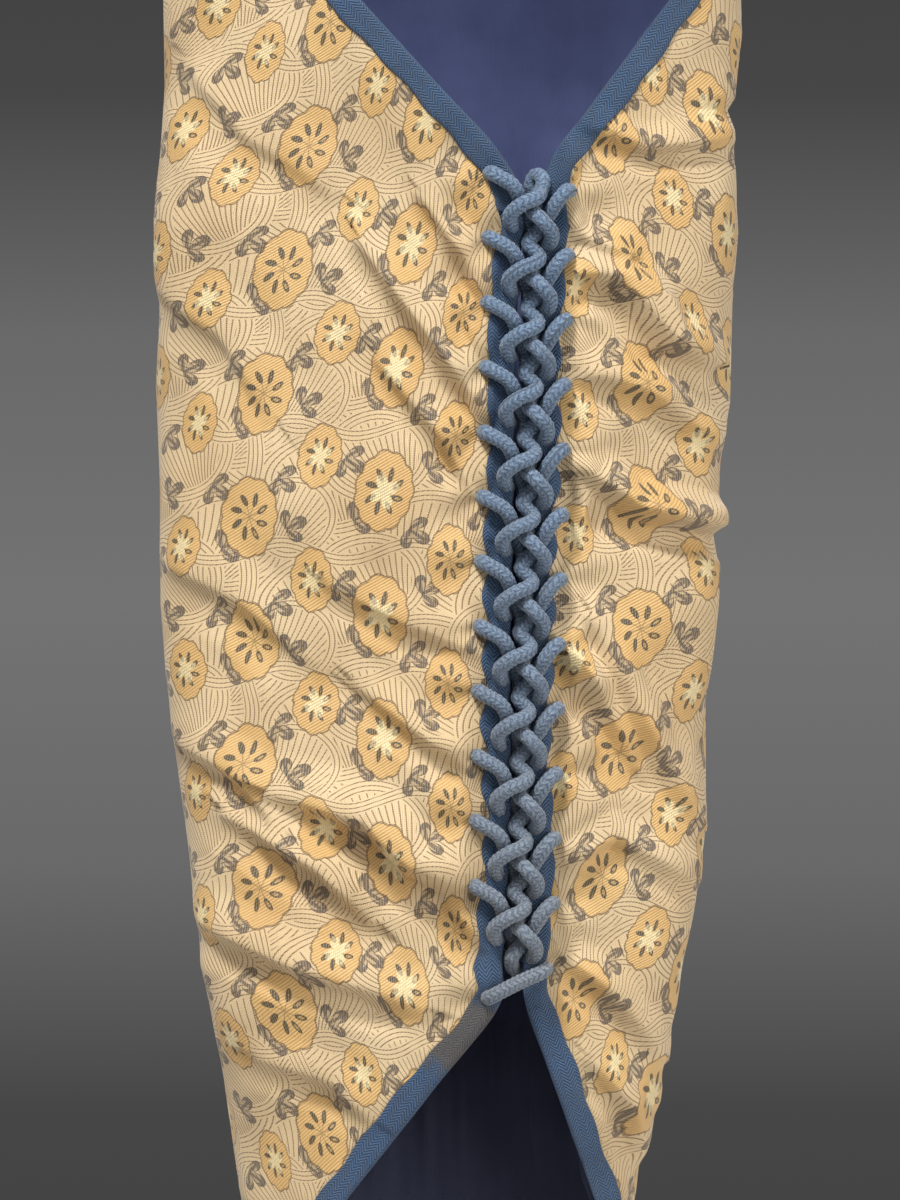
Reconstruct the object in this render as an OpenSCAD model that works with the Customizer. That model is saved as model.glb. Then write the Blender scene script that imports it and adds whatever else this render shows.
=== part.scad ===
// Armoured sleeve: a laced cloth sleeve with mail, small plates, an elbow dish, splints
// and a hand plate on its outer side. It hangs from the middle eyelet of its shoulder
// plate, which is the origin. The laced side faces -Y and the armoured side faces +Y.
// A drop is a height below that eyelet.

/* [Heights] */
// Top edge of the shoulder plate above the eyelet
plate_rise = 14; // [11:1:20]
// Drop of the shoulder plate's lower edge
plate_drop = 46; // [36:1:50]
// Drop of the top edge of the cloth behind the shoulder plate
cloth_top = 12; // [10:1:16]
// Drop where the left edge of the upper opening meets the side
upper_v_left = 76; // [66:1:90]
// Drop where the right edge of the upper opening meets the side
upper_v_right = 110; // [95:1:125]
// Drop of the bottom of the upper opening, where the lacing starts
slit_top = 200; // [190:1:210]
// Drop of the elbow's axis
elbow_drop = 320; // [312:1:328]
// Half the height of the soft stretch at the elbow
elbow_half = 58; // [52:1:62]
// Drop of the top of the lower opening, where the lacing ends
slit_end = 476; // [470:1:486]
// Drop where the left edge of the lower opening meets the side
lower_v_left = 584; // [576:1:590]
// Drop where the right edge of the lower opening meets the side
lower_v_right = 570; // [560:1:580]
// Drop of the lower edge of the forearm's cloth on the armoured side
fore_end = 564; // [560:1:570]
// Drop of the wrist's axis
wrist_drop = 586; // [582:1:590]
// Drop of the upper edge of the hand's cloth
hand_top = 604; // [600:1:610]
// Drop of the hand plate's lower edge
hand_end = 708; // [695:1:725]

/* [Widths across the finished cloth] */
// Width at the cloth's top edge
top_width = 156; // [140:1:165]
// Width of the upper arm
upper_width = 198.5; // [190:0.5:205]
// Width at the elbow
elbow_width = 190.5; // [184:0.5:196]
// Width at the middle of the forearm
fore_width = 172; // [165:0.5:180]
// Width where the lacing ends
slit_end_width = 163; // [155:0.5:168]
// Width at the lower opening's sides
hem_width = 137; // [130:0.5:145]
// Width at the wrist
wrist_width = 112; // [106:0.5:118]
// Width at the knuckles
hand_width = 100; // [94:0.5:108]
// Sideways shift of the middle line at the knuckles
middle_shift = -5; // [-8:0.5:0]

/* [Depths from the side seam] */
// Front depth of the sleeve
front_depth = 30; // [26:0.5:34]
// Back depth of the sleeve
back_depth = 46; // [42:0.5:50]
// Front depth at the shoulder
top_front = 12; // [9:0.5:15]
// Back depth at the shoulder
top_back = 19; // [16:0.5:22]
// Front depth at the wrist
wrist_front = 20; // [16:0.5:24]
// Back depth at the hand
wrist_back = 25; // [22:0.5:28]
// Forward shift of the side seam at the shoulder
shoulder_lean = 20.4; // [18:0.2:24]
// Backward shift of the side seam at the hand
hand_lean = 8; // [5:0.5:10]

/* [Cloth] */
// Thickness of the brocade cover
cover_t = 1.4; // [1:0.1:1.6]
// Thickness of the stiff middle cloth
core_t = 1.2; // [0.8:0.1:1.4]
// Thickness of the lining
lining_t = 1; // [0.7:0.1:1.2]
// Gap between two layers or pieces of cloth
cloth_gap = 0.3; // [0.25:0.05:0.4]
// Width of the edging tape
tape_w = 6.8; // [6:0.2:7.4]
// Thickness of the edging tape
tape_t = 0.9; // [0.6:0.1:1]
// Height of the folds that stand out of the cover
fold_h = 3; // [1:0.5:4]

/* [Laced slit] */
// Sideways place of the middle of the slit
slit_x = 24; // [20:0.5:28]
// Tilt of the slit
slit_tilt = 1.3; // [0.5:0.1:2]
// Width of the gap between the two laced edges
slit_gap = 6.8; // [6.4:0.2:7.4]
// Width of each laced edge, from the slit's middle line
edge_w = 18; // [17:0.5:19]
// Distance of the lacing holes from the slit's middle line
hole_reach = 13.4; // [13.2:0.2:13.8]
// Radius of a lacing hole
hole_r = 2.9; // [2.7:0.1:3.1]
// Diameter of the lacing cord
cord_d = 4.7; // [4.3:0.1:4.7]
// Number of rows of lacing
lace_rows = 12; // [11:1:12]
// Height between two rows of lacing
row_pitch = 22; // [22:0.1:22.4]

/* [Armour] */
// Thickness of the iron plates
plate_t = 1.6; // [1.2:0.1:2]
// Thickness of the mail
mail_t = 0.8; // [0.6:0.1:1.2]
// Rows of small plates on the upper arm
plate_rows = 5; // [3:1:5]
// Small plates in a row
plate_columns = 5; // [3:1:5]
// Height of a small plate
small_h = 30; // [24:1:34]
// Share of the back's arc that a small plate takes
small_share = 0.115; // [0.09:0.005:0.13]
// Number of splints on the forearm
splints = 7; // [5:1:7]
// Length of a splint
splint_h = 164; // [150:1:168]
// Share of the back's arc that a splint takes
splint_share = 0.088; // [0.07:0.004:0.1]
// Radius of the elbow dish
dish_r = 42; // [36:1:46]
// Height of the elbow dish's dome
dish_h = 13; // [9:1:16]
// Height of the hand plate's dome
hand_dome = 7; // [4:0.5:9]
// Radius of a rivet's head
rivet_r = 1.9; // [1.5:0.1:2.2]
// Height of a rivet's head
rivet_h = 1.2; // [0.8:0.1:1.6]

/* [Shoulder eyelets and toggles] */
// Radius of an eyelet's bore
eyelet_bore = 2.6; // [2.4:0.1:2.9]
// Radius of an eyelet's barrel
eyelet_r = 3.8; // [3.6:0.1:4.2]
// Radius of an eyelet's flange
flange_r = 5.6; // [5:0.1:6.4]
// Length of an eyelet
eyelet_l = 4; // [3.8:0.1:4.4]
// Share of the back's arc between the middle eyelet and each side one
eyelet_share = 0.3; // [0.27:0.01:0.32]
// Diameter of a toggle's cord
toggle_cord_d = 2.8; // [2.2:0.1:3]
// Length of a toggle
toggle_l = 26; // [20:1:30]
// Diameter of a toggle
toggle_d = 9; // [8:0.5:11]
// Drop of a toggle
toggle_drop = 30; // [26:1:32]

/* [Thumb] */
// Width of the thumb plate
thumb_w = 34; // [30:1:38]
// Length of the thumb plate
thumb_l = 58; // [50:1:62]
// Radius of the thumb plate's curve
thumb_r = 24; // [21:1:28]
// Diameter of the finger and thumb loops inside
loop_d = 26; // [23:1:28]
// Diameter of the loops' cord
loop_cord_d = 3.2; // [2.6:0.1:3.6]

/* [Hidden] */
$fn = 48;

// Layers, counted outwards from the cover's outer face.
core_out = -cover_t - cloth_gap;
core_in = core_out - core_t;
lining_out = core_in - cloth_gap;
lining_in = lining_out - lining_t;
mail_in = 0.5;
mail_out = mail_in + mail_t;
plate_in = mail_out + 0.7;
plate_out = plate_in + plate_t;
shoulder_in = 0.6;
shoulder_out = shoulder_in + plate_t;
tape_in = 0.15;
tape_out = tape_in + tape_t;

// Exponents of the rounded section: 2 is an ellipse, more is squarer.
front_round = 3;
back_round = 2.2;

// Heights that follow from the driving ones.
elbow_upper = -(elbow_drop - elbow_half);
elbow_lower = -(elbow_drop + elbow_half);
fore_bottom = -fore_end;
lean_from = plate_drop;
lean_to = plate_drop + 140;
taper_from = elbow_drop + elbow_half;

function mix(a, b, f) = a + (b - a) * f;
function part_of(v, a, b) = max(0, min(1, (v - a) / (b - a)));
function s_curve(f) = f < 0.5 ? 2 * f * f : 1 - 2 * (1 - f) * (1 - f);

// The widths, from the shoulder to the knuckles.
width_stations = [
    [cloth_top, top_width],
    [plate_drop, top_width + 10],
    [upper_v_right, upper_width],
    [-elbow_upper, upper_width - 1],
    [elbow_drop, elbow_width],
    [mix(elbow_drop, slit_end, 0.8), fore_width],
    [slit_end, slit_end_width],
    [fore_end - 16, hem_width],
    [hand_top, wrist_width],
    [hand_end, hand_width]
];
function half_width(z) = lookup(-z, width_stations) / 2;
function middle_x(z) = middle_shift * max(0, -z) / hand_end;

// How far the section has gone from its shoulder form to its arm form, and to its hand form.
function arm_form(z) = s_curve(part_of(-z, lean_from, lean_to));
function hand_form(z) = part_of(-z, taper_from, hand_top);
function seam_y(z) = mix(-shoulder_lean, 0, arm_form(z)) + hand_lean * hand_form(z);
function front_y(z) = mix(-shoulder_lean - top_front, -front_depth, arm_form(z))
    + (front_depth + hand_lean - wrist_front) * part_of(-z, slit_end, hand_top);
function depth_front(z) = seam_y(z) - front_y(z);
function depth_back(z) = mix(top_back, back_depth, arm_form(z))
    + (wrist_back - back_depth) * hand_form(z);

// A rounded section is walked by a share of its arc, so that columns are evenly spaced.
arc_steps = 45;
function unit_point(a, n) =
    let (k = 1 / pow(pow(abs(cos(a)), n) + pow(abs(sin(a)), n), 1 / n))
    [k * cos(a), k * sin(a)];
function arc_points(depth, n) = [
    for (i = [0:arc_steps])
        let (p = unit_point(180 * i / arc_steps, n))
        [p[0] * upper_width / 2, p[1] * depth]
];
function run_to(pts, i) = i == 0 ? 0 : run_to(pts, i - 1) + norm(pts[i] - pts[i - 1]);
function share_table(pts) = [
    for (i = [0:arc_steps]) [run_to(pts, i) / run_to(pts, arc_steps), 180 * i / arc_steps]
];
function swapped(t) = [for (e = t) [e[1], e[0]]];
front_table = share_table(arc_points(front_depth, front_round));
back_table = share_table(arc_points(back_depth, back_round));
front_shares = swapped(front_table);

// A point of the sleeve: share 0 is the right side and 1 the left, out is the layer.
function on_front(share, z, out) =
    let (p = unit_point(lookup(share, front_table), front_round))
    [middle_x(z) + (half_width(z) + out) * p[0], seam_y(z) - (depth_front(z) + out) * p[1], z];
function on_back(share, z, out) =
    let (p = unit_point(lookup(share, back_table), back_round))
    [middle_x(z) + (half_width(z) + out) * p[0], seam_y(z) + (depth_back(z) + out) * p[1], z];
function front_share(x, z, out = 0) =
    let (u = max(-1, min(1, (x - middle_x(z)) / (half_width(z) + out))))
    lookup(atan2(pow(1 - pow(abs(u), front_round), 1 / front_round), u), front_shares);
function back_y(x, z, out) =
    let (u = (x - middle_x(z)) / (half_width(z) + out))
    seam_y(z) + (depth_back(z) + out) * pow(1 - pow(abs(u), back_round), 1 / back_round);

// The slit's middle line, and the cloth to the left and right of it.
slit_mid = (slit_top + slit_end) / 2;
function slit_at(z) = slit_x + (z + slit_mid) * tan(slit_tilt);
function on_left(f, z, out) =
    on_front(mix(front_share(slit_at(z) - edge_w - cloth_gap, z, out), 1, f), z, out);
function on_right(f, z, out) =
    on_front(mix(front_share(slit_at(z) + edge_w + cloth_gap, z, out), 0, f), z, out);

// The four slanting edges are straight lines from the slit to a side.
function line_z(x, a, b) = a[1] + (x - a[0]) * (b[1] - a[1]) / (b[0] - a[0]);
function side_x(side, drop) = middle_x(-drop) + side * half_width(-drop);
function upper_left_z(x) = line_z(x,
    [slit_at(-slit_top) - slit_gap / 2, -slit_top], [side_x(-1, upper_v_left), -upper_v_left]);
function upper_right_z(x) = line_z(x,
    [slit_at(-slit_top) + slit_gap / 2, -slit_top], [side_x(1, upper_v_right), -upper_v_right]);
function lower_left_z(x) = line_z(x,
    [slit_at(-slit_end), -slit_end], [side_x(-1, lower_v_left), -lower_v_left]);
function lower_right_z(x) = line_z(x,
    [slit_at(-slit_end) + slit_gap / 2, -slit_end], [side_x(1, lower_v_right), -lower_v_right]);

// The height at which a column of cloth meets its slanting edge, found in a few steps.
function meet(place, edge, f, z, n = 8) =
    n == 0 ? z : meet(place, edge, f, (z + edge(place(f, z, 0)[0])) / 2, n - 1);
left_top = function(f) meet(function(f, z, o) on_left(f, z, o),
    function(x) upper_left_z(x), f, -slit_top);
right_top = function(f) meet(function(f, z, o) on_right(f, z, o),
    function(x) upper_right_z(x), f, -slit_top);
left_bottom = function(f) meet(function(f, z, o) on_left(f, z, o),
    function(x) lower_left_z(x), f, -slit_end);
right_bottom = function(f) meet(function(f, z, o) on_right(f, z, o),
    function(x) lower_right_z(x), f, -slit_end);
left_place = function(f, z, out) on_left(f, z, out);
right_place = function(f, z, out) on_right(f, z, out);
back_place = function(f, z, out) on_back(mix(0.004, 0.996, f), z, out);

// The layers of the back share their columns and rows, so that their facets stay parallel.
back_columns = 14;
mail_columns = back_columns - 2;
mail_rows = 9;
mail_top = -plate_drop - 2;
function upper_row_at(z) = (z - elbow_upper) / (-cloth_top - elbow_upper);
upper_rows = concat(
    [for (j = [0:mail_rows]) upper_row_at(mix(elbow_upper, mail_top, j / mail_rows))],
    [for (j = [1:2]) upper_row_at(mix(mail_top, -cloth_top, j / 2))]
);
elbow_rows = 4;
fore_rows = 7;

// The main folds of the cover, each a ridge from one place to another, [x, z].
folds = [
    [[-62, -404], [12, -464], 16],
    [[-70, -446], [-8, -476], 11],
    [[-14, -214], [10, -250], 9],
    [[-36, -232], [4, -282], 10],
    [[44, -238], [84, -262], 10],
    [[50, -306], [88, -318], 9],
    [[40, -356], [64, -398], 10],
    [[56, -352], [82, -412], 10],
    [[46, -452], [64, -410], 9]
];
function fold_share(x, z, fold) =
    let (a = fold[0], d = fold[1] - a, l = norm(d), u = d / l, v = [x, z] - a,
        along = max(0, min(l, v * u)), off = norm(v - u * along) / fold[2])
    off >= 1 ? 0 : pow(1 - off * off, 2) * sin(180 * mix(0.15, 0.85, along / l));
function fold_at(x, z) = fold_h * max([for (fold = folds) fold_share(x, z, fold)]);
flat = function(x, z) 0;
folded = function(x, z) fold_at(x, z);

// A closed sheet from its outer and inner grids of points.
function corner(a, b, c, keep) = keep ? [a, b, c] : [a, c, b];
function sheet_faces(nu, nz, keep) =
    let (at = function(i, j) i * nz + j, m = nu * nz)
    concat(
        [for (i = [0:nu - 2], j = [0:nz - 2]) each [
            corner(at(i, j), at(i + 1, j), at(i + 1, j + 1), keep),
            corner(at(i, j), at(i + 1, j + 1), at(i, j + 1), keep),
            corner(m + at(i, j), m + at(i + 1, j + 1), m + at(i + 1, j), keep),
            corner(m + at(i, j), m + at(i, j + 1), m + at(i + 1, j + 1), keep)]],
        [for (i = [0:nu - 2]) let (a = at(i, 0), b = at(i + 1, 0)) each [
            corner(b, a, m + a, keep), corner(b, m + a, m + b, keep)]],
        [for (i = [0:nu - 2]) let (a = at(i, nz - 1), b = at(i + 1, nz - 1)) each [
            corner(a, b, m + b, keep), corner(a, m + b, m + a, keep)]],
        [for (j = [0:nz - 2]) let (a = at(0, j), b = at(0, j + 1)) each [
            corner(a, b, m + b, keep), corner(a, m + b, m + a, keep)]],
        [for (j = [0:nz - 2]) let (a = at(nu - 1, j), b = at(nu - 1, j + 1)) each [
            corner(b, a, m + a, keep), corner(b, m + a, m + b, keep)]]
    );
module sheet(outer, inner) {
    nu = len(outer);
    nz = len(outer[0]);
    facing = cross(outer[1][0] - outer[0][0], outer[0][1] - outer[0][0])
        * (outer[0][0] - inner[0][0]);
    polyhedron(
        points = [for (g = [outer, inner]) each [for (column = g) each column]],
        faces = sheet_faces(nu, nz, facing < 0)
    );
}
function rows_of(nz) = is_list(nz) ? nz : [for (j = [0:nz]) j / nz];
function grid(place, top, bottom, nu, nz, out, shape) = [
    for (i = [0:nu])
        let (f = i / nu, upper = top(f), lower = bottom(f))
        [for (share = rows_of(nz))
            let (z = mix(lower, upper, share), p = place(f, z, 0))
            place(f, z, out + shape(p[0], z))]
];
module panel(place, top, bottom, nu, nz, out, in, shape = flat) {
    sheet(grid(place, top, bottom, nu, nz, out, shape),
        grid(place, top, bottom, nu, nz, in, shape));
}
function level(z) = function(f) z;

// A frame at point p of a surface, its Y axis pointing outwards; u and v lie in the surface.
module seated(p, u, v) {
    ux = u / norm(u);
    n = cross(v, ux);
    ny = n / norm(n);
    vz = cross(ux, ny);
    multmatrix([
        [ux[0], ny[0], vz[0], p[0]],
        [ux[1], ny[1], vz[1], p[1]],
        [ux[2], ny[2], vz[2], p[2]],
        [0, 0, 0, 1]
    ]) children();
}
module standing(share, z, out) {
    seated(on_back(share, z, out),
        on_back(share - 0.01, z, out) - on_back(share + 0.01, z, out),
        on_back(share, z + 2, out) - on_back(share, z - 2, out)) children();
}

// One tube along a list of points, with flat ends and a radius for each point.
function unit(v) = v / norm(v);
function tube_dirs(path) = [
    for (i = [0:len(path) - 1])
        unit(path[min(i + 1, len(path) - 1)] - path[max(i - 1, 0)])
];
function turned(n, d) = unit(n - d * (n * d));
function tube_normals(dirs) = [
    for (i = 0, n = turned([0.3, 1, 0.2], dirs[0]); i < len(dirs);
        i = i + 1, n = turned(n, dirs[min(i, len(dirs) - 1)])) n
];
module tube(path, radii, sides) {
    dirs = tube_dirs(path);
    normals = tube_normals(dirs);
    count = len(path);
    rings = [
        for (i = [0:count - 1]) each [
            for (k = [0:sides - 1])
                let (a = 360 * k / sides, b = cross(dirs[i], normals[i]))
                path[i] + radii[i] * (normals[i] * cos(a) + b * sin(a))]
    ];
    at = function(i, k) i * sides + k % sides;
    polyhedron(points = rings, faces = concat(
        [for (i = [0:count - 2], k = [0:sides - 1]) each [
            [at(i, k), at(i + 1, k), at(i + 1, k + 1)],
            [at(i, k), at(i + 1, k + 1), at(i, k + 1)]]],
        [for (k = [1:sides - 2]) [at(0, 0), at(0, k), at(0, k + 1)]],
        [for (k = [1:sides - 2]) [at(count - 1, 0), at(count - 1, k + 1), at(count - 1, k)]]
    ));
}

cloth_gold = "#C9A56B";
tape_blue = "#2F5478";
lining_blue = "#2A3154";
core_cream = "#B9AC8E";
iron_black = "#26221F";
mail_grey = "#3C3B3A";
cord_blue = "#5E7891";

// Upper arm cloth
module cover_upper_left() {
    color(cloth_gold)
        panel(left_place, left_top, level(elbow_upper), 11, 12, 0, -cover_t, folded);
}
module cover_upper_right() {
    color(cloth_gold)
        panel(right_place, right_top, level(elbow_upper), 8, 10, 0, -cover_t, folded);
}
module cover_upper_back() {
    color(cloth_gold)
        panel(back_place, level(-cloth_top), level(elbow_upper), back_columns, upper_rows,
            0, -cover_t);
}
module core_upper() {
    color(core_cream)
        panel(back_place, level(-cloth_top), level(elbow_upper), back_columns, upper_rows,
            core_out, core_in);
}
module lining_upper() {
    color(lining_blue) {
        panel(left_place, left_top, level(elbow_upper), 7, 6, lining_out, lining_in);
        panel(right_place, right_top, level(elbow_upper), 7, 6, lining_out, lining_in);
        panel(back_place, level(-cloth_top), level(elbow_upper), back_columns, upper_rows,
            lining_out, lining_in);
    }
}
module top_binding() {
    color(tape_blue)
        panel(back_place, level(cloth_gap + tape_t - cloth_top), level(cloth_gap - cloth_top),
            back_columns, 1, 0, lining_in);
}

// The slanting tapes lie on the cover along its upper and lower edges.
function tape_rise(a, b) = tape_w * norm(a - b) / abs(a[0] - b[0]);
upper_left_rise = tape_rise([slit_at(-slit_top), -slit_top],
    [side_x(-1, upper_v_left), -upper_v_left]);
upper_right_rise = tape_rise([slit_at(-slit_top), -slit_top],
    [side_x(1, upper_v_right), -upper_v_right]);
lower_left_rise = tape_rise([slit_at(-slit_end), -slit_end],
    [side_x(-1, lower_v_left), -lower_v_left]);
lower_right_rise = tape_rise([slit_at(-slit_end), -slit_end],
    [side_x(1, lower_v_right), -lower_v_right]);
module tape_upper_left() {
    color(tape_blue)
        panel(left_place, left_top, function(f) left_top(f) - upper_left_rise,
            11, 1, tape_out, tape_in, folded);
}
module tape_upper_right() {
    color(tape_blue)
        panel(right_place, right_top, function(f) right_top(f) - upper_right_rise,
            8, 1, tape_out, tape_in, folded);
}
module tape_lower_left() {
    color(tape_blue)
        panel(left_place, function(f) left_bottom(f) + lower_left_rise, left_bottom,
            11, 1, tape_out, tape_in, folded);
}
module tape_lower_right() {
    color(tape_blue)
        panel(right_place, function(f) right_bottom(f) + lower_right_rise, right_bottom,
            8, 1, tape_out, tape_in, folded);
}

// The soft stretch at the elbow
soft_top = level(elbow_upper - cloth_gap);
soft_bottom = level(elbow_lower + cloth_gap);
module cover_elbow_left() {
    color(cloth_gold)
        panel(left_place, soft_top, soft_bottom, 10, 8, 0, -cover_t, folded);
}
module cover_elbow_right() {
    color(cloth_gold)
        panel(right_place, soft_top, soft_bottom, 8, 8, 0, -cover_t, folded);
}
module cover_elbow_back() {
    color(cloth_gold)
        panel(back_place, soft_top, soft_bottom, back_columns, elbow_rows, 0, -cover_t);
}
module lining_elbow() {
    color(lining_blue) {
        panel(left_place, soft_top, soft_bottom, 7, 4, lining_out, lining_in);
        panel(right_place, soft_top, soft_bottom, 7, 4, lining_out, lining_in);
        panel(back_place, soft_top, soft_bottom, back_columns, elbow_rows, core_out, lining_in);
    }
}

// Forearm cloth
module cover_fore_left() {
    color(cloth_gold)
        panel(left_place, level(elbow_lower), left_bottom, 11, 13, 0, -cover_t, folded);
}
module cover_fore_right() {
    color(cloth_gold)
        panel(right_place, level(elbow_lower), right_bottom, 8, 12, 0, -cover_t, folded);
}
module cover_fore_back() {
    color(cloth_gold)
        panel(back_place, level(elbow_lower), level(fore_bottom), back_columns, fore_rows,
            0, -cover_t);
}
module core_fore() {
    color(core_cream)
        panel(back_place, level(elbow_lower), level(fore_bottom), back_columns, fore_rows,
            core_out, core_in);
}
module lining_fore() {
    color(lining_blue) {
        panel(left_place, level(elbow_lower), left_bottom, 7, 6, lining_out, lining_in);
        panel(right_place, level(elbow_lower), right_bottom, 7, 6, lining_out, lining_in);
        panel(back_place, level(elbow_lower), level(fore_bottom), back_columns, fore_rows,
            lining_out, lining_in);
    }
}

// The laced edges: doubled cloth on each side of the slit, pierced for the cord.
edge_in = slit_gap / 2 + tape_t + 0.1;
edge_y = -front_depth;
edge_t = -lining_in;
function edge_x(side, reach, z) = slit_at(z) + side * reach;
module laced_edge(side, upper, lower) {
    near_top = upper(edge_x(side, edge_in, -slit_top));
    far_top = upper(edge_x(side, edge_w, -slit_top));
    near_low = lower(edge_x(side, edge_in, -slit_end));
    far_low = lower(edge_x(side, edge_w, -slit_end));
    difference() {
        translate([0, edge_y + edge_t, 0]) rotate([90, 0, 0]) linear_extrude(edge_t)
            polygon([
                [edge_x(side, edge_in, near_top), near_top],
                [edge_x(side, edge_w, far_top), far_top],
                [edge_x(side, edge_w, far_low), far_low],
                [edge_x(side, edge_in, near_low), near_low]
            ]);
        for (i = [0:lace_rows]) {
            z = i < lace_rows ? hole_z(side, i) : last_hole_z(side);
            reach = i < lace_rows ? hole_reach : last_reach(side);
            translate([edge_x(side, reach, z), edge_y - 1, z])
                rotate([-90, 0, 0]) cylinder(r = hole_r, h = edge_t + 2);
        }
    }
}
module laced_edge_left() {
    color(cloth_gold) laced_edge(-1, function(x) upper_left_z(x), function(x) lower_left_z(x));
}
module laced_edge_right() {
    color(cloth_gold) laced_edge(1, function(x) upper_right_z(x), function(x) lower_right_z(x));
}
// The binding folds round a laced edge, with a leg on each face.
module slit_tape(side) {
    reach = tape_w + slit_gap / 2;
    front = edge_y - tape_t - 0.1;
    back = edge_y + edge_t + tape_t + 0.1;
    in = slit_gap / 2;
    translate([slit_at(-slit_mid), 0, -slit_mid]) rotate([0, slit_tilt, 0])
        translate([0, 0, -(slit_end - slit_top) / 2 + 4])
        linear_extrude(slit_end - slit_top - 8) mirror([1 - side, 0])
        polygon([
            [in, front], [reach, front], [reach, front + tape_t], [in + tape_t, front + tape_t],
            [in + tape_t, back - tape_t], [reach, back - tape_t], [reach, back], [in, back]
        ]);
}
module slit_tape_left() {
    color(tape_blue) slit_tape(-1);
}
module slit_tape_right() {
    color(tape_blue) slit_tape(1);
}

// The lacing: two halves of one cord cross at each row and lock round themselves.
right_row_drop = 6;
first_row = slit_top - 1;
function hole_z(side, i) = -first_row - i * row_pitch - (side > 0 ? right_row_drop : 0);
function last_hole_z(side) = hole_z(-1, lace_rows - 1) - (side > 0 ? 28.4 : 38);
function last_reach(side) = side > 0 ? 11.2 : 8.6;

// A turn of the cord on each side of the slit: sideways, up and out of the edge's face.
left_turn = [
    [4.2, -6.6, 2], [2.6, -8.8, 6.2], [-2.4, -10.8, 7.8], [-7, -14.2, 5.2], [-6.6, -17.4, 1.6],
    [-5.6, -18.6, -3.2], [-6.8, -16, -7.8], [-11.6, -7, -8.6], [-13.4, -1, -5.8],
    [-13.4, 0, 0.5], [-11.6, -1, 4.2], [-6.6, -4.4, 4.4], [-3.8, -8.8, 2],
    [-2.8, -13, -2.4], [0.2, -18, -4.6]
];
right_turn = [
    [0.8, -4, -4.6], [3.8, -9.6, -3], [1.4, -13.2, 2.6], [3.8, -15.4, 6.8], [6, -17.6, 7.6],
    [8.6, -20.4, 5], [8.4, -23.4, 1.4], [6.2, -24.8, -3.2], [6.8, -22, -7.8],
    [11.6, -13, -8.6], [13.4, -7, -5.8], [13.4, -6, 0.5], [11.8, -7, 4.2],
    [9.2, -10.4, 4.4], [6.8, -15.4, 1.8], [3.8, -19.6, 0.4], [0, -24, 1.2]
];
top_bight = [[2.4, -0.6, -3.6], [5, -2.4, 0]];
last_strand = [
    [0.8, -28.4, -4.4], [7.6, -30.4, -8], [11.2, -28.6, -5], [11.2, -28.4, 0.5],
    [9.6, -29.4, 4.2], [4, -32, 5.4], [-3, -35.2, 5.4], [-7.4, -37.4, 3.6],
    [-8.6, -38, 0.5], [-8.6, -38, -6], [-8.6, -38, -7.4], [-8.6, -38, -9.4],
    [-8.6, -38, -11.4], [-8.6, -38, -13]
];
loose_end = [
    [0.6, -19, -7.4], [0.8, -20, -9], [0.8, -20.6, -11], [0.8, -21, -13], [0.8, -21.4, -14.6]
];
// Each end is a stopper knot: its rings swell from the cord's own radius and close again.
knot_swell = [1, 1.4, 1.7, 1.4, 0.7];
function laced(route, i) = [for (p = route) [p[0], p[1] - i * row_pitch, p[2]]];
function half_cord(start) = [
    for (i = [0:lace_rows - 1]) each laced((i + start) % 2 == 0 ? left_turn : right_turn, i)
];
function backwards(v) = [for (i = [len(v) - 1:-1:0]) v[i]];
cord_route = concat(
    laced(backwards(loose_end), lace_rows - 1), backwards(half_cord(1)), top_bight,
    half_cord(0), laced(last_strand, lace_rows - 1)
);
function on_slit(p) =
    let (z = p[1] - first_row)
    [slit_at(z) + p[0], edge_y - p[2], z];
cord_path = [for (p = cord_route) on_slit(p)];
cord_runs = [for (i = 0, s = 0; i < len(cord_path);
    i = i + 1, s = s + norm(cord_path[min(i, len(cord_path) - 1)] - cord_path[i - 1])) s];
echo(lacing_cord_length_mm = cord_runs[len(cord_runs) - 1]);
echo(lacing_cord_least_gap_mm = min([
    for (i = [0:len(cord_path) - 1], j = [i + 1:1:len(cord_path) - 1])
        if (cord_runs[j] - cord_runs[i] > 2.2 * cord_d) norm(cord_path[i] - cord_path[j])
]) - cord_d);
module lacing_cord() {
    count = len(cord_path);
    swell = function(i) i < 5 ? knot_swell[4 - i]
        : i >= count - 5 ? knot_swell[i - count + 5] : 1;
    color(cord_blue) tube(cord_path, [for (i = [0:count - 1]) cord_d / 2 * swell(i)], 6);
}

// Shoulder plate, with its eyelets and rivets
module shoulder_plate() {
    upper = function(f) plate_rise - 9 * pow(abs(2 * f - 1), 4);
    place = function(f, z, out) on_back(mix(0.07, 0.93, f), z, out);
    color(iron_black) difference() {
        panel(place, upper, level(-plate_drop), 14, 4, shoulder_out, shoulder_in);
        for (i = [-1:1]) eyelet_place(i)
            rotate([90, 0, 0]) cylinder(r = eyelet_r + 0.2, h = 12, center = true);
    }
}
module eyelet_place(i) {
    standing(0.5 - i * eyelet_share, 0, (shoulder_in + shoulder_out) / 2) children();
}
module eyelet() {
    flange = (eyelet_l - plate_t) / 2 - 0.3;
    rotate([90, 0, 0]) difference() {
        union() {
            cylinder(r = eyelet_r, h = eyelet_l, center = true);
            for (side = [-1, 1])
                translate([0, 0, side * (eyelet_l - flange) / 2])
                    cylinder(r = flange_r, h = flange, center = true);
        }
        cylinder(r = eyelet_bore, h = eyelet_l + 2, center = true);
    }
}
module shoulder_eyelets() {
    color("#B08D4A") for (i = [-1:1]) eyelet_place(i) eyelet();
}
module rivet() {
    rotate([-90, 0, 0]) cylinder(r1 = rivet_r, r2 = rivet_r * 0.6, h = rivet_h);
}
module shoulder_rivets() {
    color(iron_black) for (i = [-2:2])
        standing(0.5 + i * 0.17, rivet_inset - plate_drop, shoulder_out + 0.3) rivet();
}

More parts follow.
